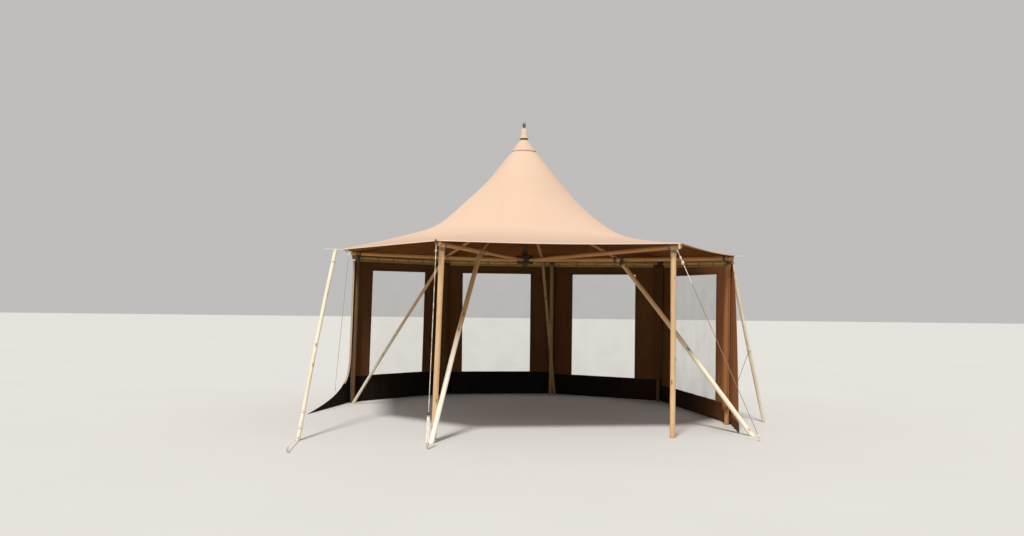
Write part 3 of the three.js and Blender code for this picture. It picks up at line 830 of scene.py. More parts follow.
def roof_relief(bay_share, ring_share):
    """What the sewn and stretched cloth adds to the even roof: each seam stands a hair proud,
    creases fan out from the corners, and the panels between are a little uneven."""
    share = bay_share - np.floor(bay_share)
    to_corner = np.minimum(share, 1 - share) * bay_width(ring_share)
    to_middle = np.abs(share - 0.5) * bay_width(ring_share)
    seam = np.exp(-((to_corner / SEAM_SPREAD) ** 2)) + np.exp(-((to_middle / SEAM_SPREAD) ** 2))
    inward = (1 - ring_share) * ROOF_REACH
    from_corner = np.hypot(to_corner, inward) / CREASE_REACH
    fan = np.arctan2(to_corner, inward + 1e-6)
    creases = CREASE_RISE * from_corner * np.exp(1 - from_corner) * np.cos(CREASES * fan)
    uneven = UNEVEN_RISE * np.sin(np.pi * bay_share + 5 * ring_share) * np.sin(np.pi * ring_share)
    return SEAM_RISE * seam + creases * ring_share**2 + uneven


def thicken(piece, thickness, offset=0.0, lining=0):
    """Gives a sheet its cloth's thickness, and its inner face another finish if there is one."""
    cloth = piece.modifiers.new("thickness", "SOLIDIFY")
    cloth.thickness = thickness
    cloth.offset = offset
    cloth.material_offset = lining


def sewn_of(material):
    """A point's distance from the nearest seam and along it, in metres, and how far its second tone takes
    over.
    """
    split = node(material, "ShaderNodeSeparateXYZ", Vector=carried(material, "sewn"))
    return split.outputs["X"], split.outputs["Y"], split.outputs["Z"]


def sum_of(material, kind, first, second):
    """Arithmetic on two values."""
    made = material.node_tree.nodes.new("ShaderNodeMath")
    made.operation = kind
    for socket, value in zip(made.inputs, (first, second)):
        if isinstance(value, bpy.types.NodeSocket):
            material.node_tree.links.new(value, socket)
        else:
            socket.default_value = value
    return made.outputs[0]


def stitches(material, across, along, offset):
    """1 on the thread of a row of stitches at this distance from the seam, and 0 elsewhere."""
    near = sum_of(material, "COMPARE", across, offset)
    near.node.inputs[2].default_value = STITCH_HALF
    beat = sum_of(material, "FRACT", sum_of(material, "MULTIPLY", along, STITCHES_PER_METRE), 0.0)
    return sum_of(material, "MULTIPLY", near, sum_of(material, "LESS_THAN", beat, STITCH_SHARE))


def canvas_finish(name, light, dark, stain, thread, tone_shift, specular=0.12, show=0.3):
    """Woven cotton canvas: slubs along both threads of the weave over soft patches of tone, with
    a few stains, a second tone that takes over by the share each piece carries, and the rows of
    stitches beside its seams."""
    material = new_finish(name, Roughness=0.9, Specular_IOR_Level=specular)
    place = in_object(material)
    patches = noise(material, place, scale=0.9, detail=3)
    weathered = noise(material, place, scale=6.0, detail=5, roughness=0.65)
    warp = noise(material, stretched(material, place, (1, 1, 0.05)), scale=900, detail=2)
    weft = noise(material, stretched(material, place, (0.05, 0.05, 1)), scale=900, detail=2)
    colour = ramp(material, patches, (0.32, dark), (0.68, light))
    colour = mixed(material, ramp(material, weathered, (0.60, 0.0), (0.80, 0.35)), colour, stain)
    across, along, tone_share = sewn_of(material)
    # The second tone is painted sunlight on the walls, and a darker colour towards the roof's eave and
    # along one bay of its hem.
    colour = mixed(material, tone_share, colour, mixed(material, 0.2, tone_shift, colour))
    rows = [stitches(material, across, along, offset) for offset in STITCH_ROWS]
    sewing = sum_of(material, "MAXIMUM", *rows)
    colour = mixed(material, sum_of(material, "MULTIPLY", sewing, show), colour, thread)
    relief = mixed(material, 0.5, warp, weft)
    wire(material, Base_Color=colour, Normal=raised(material, relief, depth=0.0006, strength=0.5))
    return material


# Its second tone, near the eave, is darker.
roof_canvas = canvas_finish(
    "roof_canvas", light=(0.675, 0.497, 0.380), dark=(0.640, 0.462, 0.348), stain=(0.60, 0.42, 0.31),
    thread=(0.56, 0.40, 0.29), tone_shift=(0.515, 0.368, 0.290),
)
# Painted shade: the roof's inner face is a dark brown that stands for the shade under the roof, a little
# lighter in its second tone towards the eave.
painted_shade_underside = canvas_finish(
    "painted_shade_underside", light=(0.200, 0.070, 0.018), dark=(0.155, 0.050, 0.011), stain=(0.11, 0.04, 0.01),
    thread=(0.25, 0.11, 0.04), tone_shift=(0.220, 0.085, 0.020), specular=0.03,
)
bay_share = (np.arange(8)[:, None] + GORE[None, :]).ravel()
ring_share = np.linspace(0, 1, ROOF_RINGS) ** 1.25
ring_grid, bay_grid = np.meshgrid(ring_share, bay_share, indexing="ij")
roof_points = roof_point(bay_grid, ring_grid)
roof_points[..., 2] += roof_relief(bay_grid, ring_grid)
canopy_faces = quads(ROOF_RINGS, len(bay_share), wrapped=True)
gore_share = bay_grid - np.floor(bay_grid)
to_seam = np.minimum(np.minimum(gore_share, 1 - gore_share), np.abs(gore_share - 0.5))
roof_sewn = np.stack(
    [to_seam * bay_width(ring_grid), ring_grid * ROOF_REACH, smooth_step(DARKENS_FROM, DARKENED_BY, ring_grid)],
    axis=-1,
)
canopy = shape("canopy_sheet", roof_points, canopy_faces.tolist(), {"sewn": roof_sewn})
thicken(canopy, CLOTH_THICKNESS, offset=-1.0, lining=1)
fit(canopy, roof_canvas, "canopy")
canopy.data.materials.append(painted_shade_underside)

HEM_DROP = 0.011
HEM_LAP = 0.050
HEM_STITCHED = 0.036
# The bay along which the hem takes its second, darker tone
DARK_HEM_BAY = 4
NEAR_REACH = 3.2
# The hem's section, as out from the eave and up: over the cloth, down its edge and back below it
HEM_PROFILE = [
    (-HEM_LAP, 0.0010), (-0.006, 0.0015), (0.001, 0.0005), (0.004, -0.003),
    (0.0045, -HEM_DROP + 0.002), (0.002, -HEM_DROP), (-0.002, -HEM_DROP), (-0.0035, -HEM_DROP + 0.002),
    (-0.007, -0.0075), (-HEM_LAP, -0.0075),
]
hem_across, hem_up = np.array(HEM_PROFILE).T
hem_line = roof_point(bay_share, np.ones_like(bay_share))
hem_out = unit((hem_line - CENTRE) * [1, 1, 0])
inner_line = roof_point(bay_share, np.full_like(bay_share, 1 - HEM_LAP / NEAR_REACH))
hem_fall = (inner_line[:, 2] - hem_line[:, 2])[:, None] * np.clip(-hem_across / HEM_LAP, 0, 1)
hem_points = hem_line[:, None] + hem_across[None, :, None] * hem_out[:, None]
hem_points[..., 2] += hem_up + hem_fall
darker_bay = ((bay_share >= DARK_HEM_BAY) & (bay_share <= DARK_HEM_BAY + 1)).astype(float)
hem_sewn = np.stack(
    np.broadcast_arrays(np.abs(hem_across + HEM_STITCHED), run_of(hem_line)[:, None], darker_bay[:, None]),
    axis=-1,
)
hem_rows = np.concatenate([hem_points, hem_points[:1]])
hem_vectors = np.concatenate([hem_sewn, hem_sewn[:1]])
hem_faces = quads(len(hem_rows), len(HEM_PROFILE), wrapped=True)[:, ::-1]
canopy_hem = shape("canopy_hem", hem_rows, hem_faces.tolist(), {"sewn": hem_vectors})
# Its second tone is a darker brown, on that one bay.
hem_canvas = canvas_finish(
    "hem_canvas", light=(0.72, 0.55, 0.42), dark=(0.67, 0.50, 0.38), stain=(0.58, 0.43, 0.32),
    thread=(0.45, 0.32, 0.22), tone_shift=(0.30, 0.18, 0.09),
)
fit(canopy_hem, hem_canvas, "canopy")


# Valance: a narrow strip of the canvas that hangs from the eave over the four walled bays and
# shuts the gap above the rails. Its inner face is painted warm golden, as painted light for the
# sun that shines through the canvas.

VALANCE_INSET = 0.022
VALANCE_BELOW = 0.006
VALANCE_LOW = 0.030
VALANCE_POINTS = 60
VALANCE_ROWS = 8
VALANCE_FOLD = 0.004
HUNG_THICKNESS = 0.002
LONG_FOLD = 0.16
SHORT_FOLD = 0.083
FOLDS_FREE = 0.05


def curtain(name, path, low, high, seed, depth, rows, material, node_name, tone_shift=0.0, outside=None):
    """A hung strip of cloth over a line on the ground, as a grid of distance along the line and
    height. It stands out of the line in upright folds that are a sum of two sine waves and grow
    from nothing at its head. Its ends keep to the line."""
    random = np.random.default_rng(seed)
    path = np.asarray(path, float)
    aside = np.cross(unit(np.gradient(path, axis=0)), [0, 0, 1.0])
    run = run_of(path)
    share = np.linspace(0, 1, rows)[:, None]
    height = low + (high - low) * share + 0 * run
    phase = random.uniform(0, ANY_PHASE, 2)
    fold = np.sin(2 * np.pi * run / LONG_FOLD + phase[0])
    fold = fold + 0.6 * np.sin(2 * np.pi * run / SHORT_FOLD + phase[1])
    from_end = np.minimum(run, run[-1] - run) + 0 * share
    out = depth * fold * np.clip(from_end / FOLDS_FREE, 0, 1) * (1 - 0.8 * share**2)
    points = path + out[..., None] * aside
    points[..., 2] = height
    sewn = np.stack(np.broadcast_arrays(from_end, height, tone_shift), axis=-1)
    piece = shape(name, points, quads(rows, len(path)).tolist(), {"sewn": sewn})
    fit(piece, material, node_name)
    if outside:
        piece.data.materials.append(outside)
    thicken(piece, HUNG_THICKNESS, lining=1 if outside else 0)
    return piece, float(run[-1])


# Painted light: a warm golden glow on the inner face, for the sun shining through the canvas.
valance_painted_glow = canvas_finish(
    "valance_painted_glow", light=(0.50, 0.31, 0.10), dark=(0.42, 0.25, 0.08), stain=(0.34, 0.19, 0.06),
    thread=(0.30, 0.18, 0.08), tone_shift=(0.5, 0.3, 0.1),
)
for seed, bay in enumerate(BAYS, 300):
    from_height, to_height = bay_frame(bay)[4]
    along_bay = np.linspace(0, 1, VALANCE_POINTS)
    shares = list(CORNERS).index(BAYS[bay][0]) + along_bay
    eave_line = roof_point(shares, np.full_like(shares, 1 - VALANCE_INSET / NEAR_REACH))
    top = eave_line[:, 2] - VALANCE_BELOW
    rail_line = from_height + (to_height - from_height) * along_bay
    piece, length = curtain(
        "valance_" + bay, eave_line * [1, 1, 0], rail_line - VALANCE_LOW, top, seed, VALANCE_FOLD,
        VALANCE_ROWS, valance_painted_glow, "canopy", outside=roof_canvas,
    )


# Corner tab: a short strip of webbing sewn to the outside of the hem, beside the front right
# corner, with its other end hanging free.

TAB_WIDTH = 0.024
TAB_LENGTH = 0.076
TAB_FROM = 0.019
TAB_PROUD = 0.007
TAB_BELOW = 0.003
TAB_FOLD = 0.001
TAB_POINTS = 7
TAB_ROWS = 10
tab_corner = in_plan(*CORNERS["front_right"][:2], 0.0, 0.0)
tab_along = unit(in_plan(*CORNERS["front_left"][:2], 0.0, 0.0) - tab_corner)
tab_path = tab_corner + (TAB_FROM + TAB_WIDTH * np.linspace(0, 1, TAB_POINTS))[:, None] * tab_along
tab_path = tab_path + TAB_PROUD * np.cross([0, 0, 1.0], tab_along)
tab_top = CORNERS["front_right"][2] - TAB_BELOW
tab, _ = curtain(
    "corner_tab", tab_path, tab_top - TAB_LENGTH, tab_top, 310, TAB_FOLD, TAB_ROWS,
    hem_canvas, "canopy",
)


# Crown cap: a small cone of the same canvas, laced down over the crown so that no rain gets in
# round the king post. The turned wooden finial stands on it.

CAP_BORE = 0.026
CAP_TOP_RADIUS = 0.064
CAP_SKIRT = 0.186
CAP_TOP = 4.212
CAP_THICKNESS = 0.004
CAP_CLEAR = 0.008
CAP_SIDES = 96
CAP_PUCKERS = 12
CAP_PUCKER = 0.0022
LACING_INSET = 0.010
LACING_RADIUS = 0.003
CROWN = CENTRE + [KING_LEAN, 0, 0]
cap_low = roof_height(CAP_SKIRT) + CAP_CLEAR
cap_rings = np.concatenate([[CAP_BORE], np.linspace(CAP_TOP_RADIUS - 0.012, CAP_SKIRT, 24)])
cap_angles = np.linspace(0, 2 * np.pi, CAP_SIDES + 1)[:-1]
cap_radius, cap_angle = np.meshgrid(cap_rings, cap_angles, indexing="ij")
cap_share = np.clip((cap_radius - CAP_TOP_RADIUS) / (CAP_SKIRT - CAP_TOP_RADIUS), 0, 1)
cap_height = CAP_TOP + (cap_low - CAP_TOP) * cap_share
cap_height = cap_height + CAP_PUCKER * np.sin(CAP_PUCKERS * cap_angle) * cap_share
cap_points = np.stack(
    [cap_radius * np.cos(cap_angle), cap_radius * np.sin(cap_angle), cap_height], axis=-1
) + CROWN
cap_sewn = np.stack([(1 - cap_share) * 0.15, cap_angle * CAP_SKIRT, 0 * cap_share], axis=-1)
cap_faces = quads(len(cap_rings), CAP_SIDES, wrapped=True)
cap = shape("cap_cone", cap_points, cap_faces.tolist(), {"sewn": cap_sewn})
fit(cap, roof_canvas, "crown_cap")
thicken(cap, CAP_THICKNESS, offset=-1.0)

lacing_angle = np.linspace(0, 2 * np.pi, 121)
lacing_out = CAP_SKIRT - LACING_INSET
lacing_height = cap_low + (CAP_TOP - cap_low) * LACING_INSET / (CAP_SKIRT - CAP_TOP_RADIUS)
lacing_path = np.stack([
    lacing_out * np.cos(lacing_angle),
    lacing_out * np.sin(lacing_angle),
    0 * lacing_angle + lacing_height + LACING_RADIUS,
], axis=-1) + CROWN
lacing = together("cap_lacing", [rope(lacing_path, LACING_RADIUS, CORD_LAY, sides=8)])
fit(lacing, hemp_cord, "crown_cap")


# Finial: turned from one piece of hardwood, waxed, and stood on the cap over the head of the king
# post, with a dark ring round its foot and a slim tip of darker wood let in to its top.

FINIAL_SEAT = CAP_TOP + 0.0003
FINIAL_BODY = [
    (0.058, 0.000), (0.056, 0.012), (0.050, 0.018), (0.047, 0.024), (0.050, 0.030), (0.061, 0.036),
    (0.063, 0.042), (0.061, 0.048), (0.058, 0.056), (0.055, 0.080), (0.052, 0.110), (0.048, 0.140),
    (0.045, 0.166), (0.041, 0.178), (0.034, 0.184), (0.024, 0.188), (0.018, 0.190),
]
FINIAL_TIP = [
    (0.014, 0.188), (0.019, 0.192), (0.020, 0.200), (0.016, 0.206), (0.020, 0.214), (0.027, 0.226),
    (0.029, 0.238), (0.027, 0.250), (0.021, 0.264), (0.013, 0.277), (0.007, 0.285), (0.0005, 0.290),
]
FINIAL_RING = [(0.050, 0.010), (0.0605, 0.012), (0.0625, 0.020), (0.0605, 0.028), (0.050, 0.030)]
turned_wood = pole_finish(
    "turned_wood", light=(0.80, 0.69, 0.55), dark=(0.66, 0.52, 0.38),
    streak=(0.50, 0.36, 0.24), knot=(0.24, 0.14, 0.08), roughness=0.42,
)
tip_wood = pole_finish(
    "tip_wood", light=(0.25, 0.19, 0.20), dark=(0.17, 0.12, 0.13),
    streak=(0.10, 0.07, 0.08), knot=(0.05, 0.03, 0.03), roughness=0.5,
)
finial_pieces = [
    ("finial_turned", FINIAL_BODY, 64, turned_wood),
    ("finial_tip", FINIAL_TIP, 48, tip_wood),
    ("finial_ring", FINIAL_RING, 64, smoked_pine),
]
for name, outline, sides, wood in finial_pieces:
    fit(turned(name, np.array(outline) + [0, FINIAL_SEAT], sides, CROWN), wood, "finial")


# Side walls: canvas sheets hung from the rails round the back half, with a dark proofed skirt at
# the foot, a pale heading at the rail and a clear window sewn in to each. The two end ones have a
# loose wing that runs out along the ground.

WALL_OVERLAP = 0.020
WALL_GAP = 0.006
WALL_SEED = 100
WALL_DEPTH = 0.013
SET_OVER_PAST = 0.04
WALL_STEP = 0.025
WALL_ROW = 0.05
SILL_LAP = 0.03
# The rows above a window are laid out in a band this high, and then drawn up to the rail
ABOVE_WINDOW = 0.05
HEADING_SHARE = 0.76
WINDOW_HEM = 0.035
WINDOW_HEM_PROUD = 0.0045
WINDOW_HEM_THICKNESS = 0.0015
WINDOW_STEP = 0.03
FILM_LAP = 0.015
FILM_THICKNESS = 0.001
# Each fold across a wall: how long it is, and its share of the depth
WALL_FOLDS = ((0.55, 0.45), (0.27, 0.3), (0.12, 0.25))
# How far painted sunlight lightens each wall to its second tone, at its first end and at its last
WALL_PAINTED_LIGHT = {"left": (0.06, 0.0), "back_left": (0.0, 0.0), "back_right": (0.0, 0.12), "right": (0.1, 0.92)}
# Bay: which end its wing is at, the wing's tip in plan, its width at the head, how close to the
# ground its edge sweeps out, and the top of its skirt
WINGS = {
    "left": (-1, (-3.260, -0.420), 0.105, 12.5, 0.430),
    "right": (1, (2.889, -1.946), 0.010, 0.54, 0.13),
}
WING_KNEE = 2.230
WING_DROP = 0.060
WING_ROWS = [0.0, 0.015, 0.035, 0.06, 0.09, 0.125, 0.17, 0.22, 0.28, 0.34]
WING_UPPER_ROWS = 44
WING_COLUMNS = 17
WING_RIPPLE = 0.008
RIPPLE_LENGTH = 0.24
WING_HEM = 0.032
WING_HEM_FOOT = 0.280
# The least share of a wing's flat size that its cloth fills, and a hair. The least part
# of its flat size that a sheet may be cut down to, and a hair
LEAST_SHARE = 0.31


def steps_between(edges, step):
    """Positions through all the edges, spaced about a step apart."""
    parts = [
        np.linspace(low, high, max(2, int(round((high - low) / step)) + 1))[:-1]
        for low, high in zip(edges, edges[1:])
    ]
    return np.concatenate([*parts, edges[-1:]])


def hang(x, z, seed):
    """How far a hung wall stands out at a place along it and above the ground: soft upright
    folds that lean and fade up towards the rail."""
    random = np.random.default_rng(seed)
    out = np.zeros(np.broadcast(x, z).shape)
    for wide, share in WALL_FOLDS:
        phase = random.uniform(0, ANY_PHASE, 2)
        out += share * np.sin(2 * np.pi * x / wide + phase[0] + 0.6 * np.sin(1.7 * z + phase[1]))
    return WALL_DEPTH * out * (1 - 0.75 * np.clip(z / 2.3, 0, 1) ** 2)


def window_of(bay):
    """A window's two sides along its wall, its sill and its head."""
    (from_strip, to_strip), sill, head = BAYS[bay][2:5]
    reach = bay_frame(bay)[3]
    return from_strip - reach, reach - to_strip, sill, head


def on_wall(bay, x, z, proud=0.0):
    """A place on a hung wall, by its distance along the rail and its height. The wall's first end,
    and the window with it, is set over more the lower it is."""
    middle, along, out, _, (from_height, _) = bay_frame(bay)
    right = window_of(bay)[1]
    set_over = np.where(x < right + SET_OVER_PAST, BAYS[bay][5] * (1 - z / from_height), 0)
    depth = hang(x, z, WALL_SEED + list(BAYS).index(bay)) + proud
    points = middle + (x - set_over)[..., None] * along + depth[..., None] * out
    return points + z[..., None] * [0, 0, 1]


def painted_light_at(bay, x):
    """How far painted sunlight lightens a wall at a distance along it, in a smooth step between its two
    ends.
    """
    reach = bay_frame(bay)[3]
    start, end = WALL_PAINTED_LIGHT[bay]
    return start + (end - start) * smooth_step(-0.2 * reach, 0.7 * reach, x)


def lies_below(z, line):
    """1 for each face of a grid whose middle lies below a line, and 0 for the rest."""
    centre = 0.25 * (z[:-1, :-1] + z[1:, :-1] + z[:-1, 1:] + z[1:, 1:])
    return (centre.ravel() < line).astype(np.int32)


def wall_sheet(bay):
    """A wall as a grid of height and distance along it, with the faces of its window left out.
    Its rows above the window fan out to meet the sloping rail. Returns it, its flat size and the
    area of its cloth."""
    reach, (from_height, to_height) = bay_frame(bay)[3:]
    left, right, sill, head = window_of(bay)
    edge = reach - WALL_GAP
    heading_foot = head + ABOVE_WINDOW * HEADING_SHARE
    x = steps_between([-edge, left - WINDOW_HEM, left, right, right + WINDOW_HEM, edge], WALL_STEP)
    z = steps_between([0.0, sill - SILL_LAP, sill, head, heading_foot, head + ABOVE_WINDOW], WALL_ROW)
    z_grid, x_grid = np.meshgrid(z, x, indexing="ij")
    top = from_height + (to_height - from_height) * (x_grid + edge) / (2 * edge) - WALL_OVERLAP
    above = np.clip((z_grid - head) / ABOVE_WINDOW, 0, 1)
    z_grid = np.where(above > 0, head + (top - head) * above, z_grid)

    centre_x = 0.5 * (x[:-1] + x[1:])
    centre_z = 0.5 * (z[:-1] + z[1:])
    window_x = (centre_x > left) & (centre_x < right)
    window_z = (centre_z > sill) & (centre_z < head)
    cloth = ~(window_z[:, None] & window_x[None, :]).ravel()
    band = (centre_z < sill).astype(np.int32) + 2 * (centre_z > heading_foot)
    from_end = np.minimum(x_grid + edge, edge - x_grid)
    sewn = np.stack([from_end, z_grid, painted_light_at(bay, x_grid)], axis=-1)
    faces = quads(len(z), len(x))[cloth]
    wall = shape("wall_sheet_" + bay, on_wall(bay, x_grid, z_grid), faces.tolist(), {"sewn": sewn})
    fit(wall, wall_canvas, "wall_" + bay)
    for finish in (skirt_canvas, heading_canvas, wall_canvas, skirt_canvas, wall_canvas):
        wall.data.materials.append(finish)
    wall.data.polygons.foreach_set("material_index", np.repeat(band, len(x) - 1)[cloth].astype(np.int32))
    thicken(wall, CLOTH_THICKNESS, lining=3)
    height = (from_height + to_height) / 2 - WALL_OVERLAP
    return wall, (2 * edge, height), 2 * edge * height - (right - left) * (head - sill)


def window_hem(bay):
    """The hem sewn round a window on both faces of the wall, as a grid of distance across it and
    round the window. Below the sill it is of the skirt's cloth."""
    left, right, sill, head = window_of(bay)
    ring_x = np.array([left, right, right, left, left])
    ring_z = np.array([sill, sill, head, head, sill])
    run = run_of(np.stack([ring_x, ring_z], axis=-1))
    round_it = steps_between(run, WINDOW_STEP)
    across = np.array([-0.006, 0.0, 0.028, WINDOW_HEM])[:, None]
    x = np.interp(round_it, run, ring_x) + across * np.interp(round_it, run, [-1, 1, 1, -1, -1])
    z = np.interp(round_it, run, ring_z) + across * np.interp(round_it, run, [-1, -1, 1, 1, -1])
    inner = on_wall(bay, x, z, -WINDOW_HEM_PROUD)
    outer = on_wall(bay, x, z, WINDOW_HEM_PROUD)
    faces = quads(*x.shape)
    both_faces = np.concatenate([faces, faces[:, ::-1] + x.size])
    # The hem takes its wall's painted sunlight.
    sewn = np.stack(np.broadcast_arrays(across * 0.35, round_it, painted_light_at(bay, x)), axis=-1)
    hem = shape(
        "window_hem_" + bay, np.concatenate([inner, outer]), both_faces.tolist(),
        {"sewn": np.concatenate([sewn, sewn])},
    )
    fit(hem, wall_canvas, "wall_" + bay)
    hem.data.materials.append(skirt_canvas)
    hem.data.polygons.foreach_set("material_index", np.tile(lies_below(z, sill), 2))
    thicken(hem, WINDOW_HEM_THICKNESS)


def window_film(bay):
    """A window's film, which lies in the wall and laps under its hem. Returns its flat size too."""
    left, right, sill, head = window_of(bay)
    x = steps_between([left - FILM_LAP, right + FILM_LAP], WINDOW_STEP)
    z = steps_between([sill - FILM_LAP, head + FILM_LAP], WALL_ROW)
    z_grid, x_grid = np.meshgrid(z, x, indexing="ij")
    film = shape("window_film_" + bay, on_wall(bay, x_grid, z_grid), quads(len(z), len(x)).tolist())
    fit(film, reflecting_film if bay == "right" else clear_film, "window_" + bay)
    thicken(film, FILM_THICKNESS)
    return film, (right - left + 2 * FILM_LAP, head - sill + 2 * FILM_LAP)


def wing_edge(bay, line, toward, out):
    """The webbing sewn down a wing's free edge: a strip carried along it, turned square to the
    canvas."""
    across = np.array([0.0, 0.5, 0.9, 1.0]) * WING_HEM
    cupped = np.array([0.004, 0.001, 0.0, 0.002])
    points = line[:, None] + (across[:, None] * out + cupped[:, None] * toward)
    sewn = np.stack(np.broadcast_arrays(across, line[:, 2:], 0.0), axis=-1)
    strip = shape("wing_hem_" + bay, points, quads(len(line), len(across)).tolist(), {"sewn": sewn})
    fit(strip, wing_webbing, "wall_" + bay)
    thicken(strip, CLOTH_THICKNESS)


def wall_wing(bay):
    """A wall's loose end beyond its post, as a grid of height and distance out. Its width grows
    from its head to the ground by a power of how low a point is, and it ripples most at its
    middle. Returns it, its flat size and the area of its cloth."""
    side, tip, top, curl, skirt_top = WINGS[bay]
    middle, along, _, reach, heights = bay_frame(bay)
    sill, lean = BAYS[bay][3], BAYS[bay][5]
    root = middle + side * (reach - WALL_GAP) * along
    target = np.array([*tip, 0.0]) + CENTRE - (root - lean * along)
    length = np.linalg.norm(target)
    toward = target / length
    out = np.cross([0, 0, 1.0], toward)
    head = heights[0 if side < 0 else 1] - WING_DROP
    upper_rows = np.linspace(sill, head, WING_UPPER_ROWS)
    rows = np.unique(np.concatenate([WING_ROWS, [sill - SILL_LAP], upper_rows]))
    z, share = np.meshgrid(rows, np.linspace(0, 1, WING_COLUMNS), indexing="ij")
    width = top + (length - top) * np.clip(1 - z / WING_KNEE, 0, 1) ** curl
    ripple = WING_RIPPLE * np.sin(2 * np.pi * share * width / RIPPLE_LENGTH) * share * (1 - share) * 4
    points = root - (lean * (1 - z / heights[0]))[..., None] * along
    points = points + (width * share)[..., None] * toward + ripple[..., None] * out
    points = points + z[..., None] * [0, 0, 1]
    # The wing takes the painted sunlight of its wall's end.
    sewn = np.stack([width * (1 - share), z, 0 * z + WALL_PAINTED_LIGHT[bay][side > 0]], axis=-1)
    wing = shape("wall_wing_" + bay, points, quads(*z.shape).tolist(), {"sewn": sewn})
    fit(wing, wall_canvas, "wall_" + bay)
    wing.data.materials.append(skirt_canvas)
    wing.data.polygons.foreach_set("material_index", lies_below(z, skirt_top))
    thicken(wing, CLOTH_THICKNESS)
    if side < 0:
        wing_edge(bay, points[rows > WING_HEM_FOOT, -1], toward, out)
    area = float((np.diff(rows) * (width[:-1, 0] + width[1:, 0]) / 2).sum())
    return wing, (min(length, area / head / LEAST_SHARE), head), area


def film_finish(name, veil_at_foot, veil_at_head):
    """Clear flexible film under a pale veil that is partly its own milkiness and partly painted
    reflection, thicker towards its foot, and rippled so that reflections on it waver."""
    material = new_finish(name, Base_Color=(0.72, 0.75, 0.66, 1), Roughness=0.14, IOR=1.5)
    place = in_object(material)
    fall = node(
        material, "ShaderNodeMapRange", Value=height_in(material, place), From_Min=0.3, From_Max=2.2,
        To_Min=veil_at_foot, To_Max=veil_at_head,
    ).outputs["Result"]
    cloud = noise(material, place, scale=3.0, detail=4)
    ripple = noise(material, stretched(material, place, (1, 1, 0.35)), scale=5.0, detail=2)
    milk_and_reflection = sum_of(material, "MULTIPLY", fall, sum_of(material, "ADD", cloud, 0.5))
    wire(material, Alpha=milk_and_reflection, Normal=raised(material, ripple, depth=0.01, strength=0.5))
    return material


# The second tones of the wall, skirt and heading canvas are painted sunlight: lighter colours where the
# sun falls on the inside of the walls, most at the right.
wall_canvas = canvas_finish(
    "wall_canvas", light=(0.122, 0.054, 0.017), dark=(0.092, 0.039, 0.011), stain=(0.070, 0.030, 0.010),
    thread=(0.035, 0.016, 0.007), tone_shift=(0.46, 0.19, 0.075),
)
skirt_canvas = canvas_finish(
    "skirt_canvas", light=(0.0095, 0.0075, 0.0055), dark=(0.0065, 0.0050, 0.0038),
    stain=(0.016, 0.012, 0.008), thread=(0.02, 0.015, 0.01), tone_shift=(0.16, 0.066, 0.025),
)
heading_canvas = canvas_finish(
    "heading_canvas", light=(0.52, 0.32, 0.095), dark=(0.42, 0.25, 0.07), stain=(0.30, 0.17, 0.05),
    thread=(0.20, 0.11, 0.04), tone_shift=(0.62, 0.38, 0.14),
)
wing_webbing = canvas_finish(
    "wing_webbing", light=(0.50, 0.41, 0.29), dark=(0.40, 0.32, 0.22), stain=(0.30, 0.23, 0.15),
    thread=(0.25, 0.19, 0.13), tone_shift=(0.5, 0.4, 0.3),
)
# The right window's veil is heavier, as more painted reflection.
clear_film = film_finish("clear_film", veil_at_foot=0.10, veil_at_head=0.05)
reflecting_film = film_finish("reflecting_film", veil_at_foot=0.22, veil_at_head=0.10)
for bay in BAYS:
    wall, flat, cloth_area = wall_sheet(bay)
    window_hem(bay)
    film, flat = window_film(bay)
    if bay in WINGS:
        wing, flat, cloth_area = wall_wing(bay)


# Corner flaps and post sleeves: narrow strips of the wall canvas. A flap laps over the outside
# of each closed corner, and a sleeve on the inside wraps a post from its rail to the skirt.

FLAP_HALF = 0.070
FLAP_PROUD = 0.016
FLAP_FOOT = 0.004
FLAP_ABOVE = 0.026
FLAP_FOLD = 0.002
FLAP_ROWS = 45
SLEEVE_PROUD = 0.052
SLEEVE_INSET = 0.016
SLEEVE_BELOW = 0.025
SLEEVE_FOLD = 0.006
SLEEVE_ROWS = 40
# Corner: how far along each wall its sleeve starts and ends, and the sleeve's foot
SLEEVES = {"back_left": (0.150, 0.150, 0.400), "back_right": (0.150, 0.130, 0.395)}
# The right sleeve starts this far before its post, passes it this far aside, and ends beyond it
# this far out from the posts' circle and aside
RIGHT_SLEEVE_START = 0.240
RIGHT_SLEEVE_ASIDE = -0.030
RIGHT_SLEEVE_END = (0.020, -0.064)
RIGHT_SLEEVE_INSET = 0.020
RIGHT_SLEEVE_FOOT = 0.225
RIGHT_SLEEVE_BELOW = 0.020
RIGHT_SLEEVE_FOLD = 0.004
# How far painted sunlight lightens the right sleeve
RIGHT_SLEEVE_PAINTED_LIGHT = 0.85


def wall_before(corner):
    """The bay whose wall ends at a corner."""
    return next(bay for bay in BAYS if BAYS[bay][1] == corner)


def ends_round(corner, before, after, lift):
    """Places on the two walls that meet at a corner: a distance before it along the first and a
    distance after it along the next, each lifted off its wall."""
    next_bay = next(bay for bay in BAYS if BAYS[bay][0] == corner)
    first_middle, first_along, first_out, first_reach, _ = bay_frame(wall_before(corner))
    middle, along, out, reach, _ = bay_frame(next_bay)
    start = first_middle + (first_reach - before) * first_along + lift * first_out
    return start, middle + (after - reach) * along + lift * out


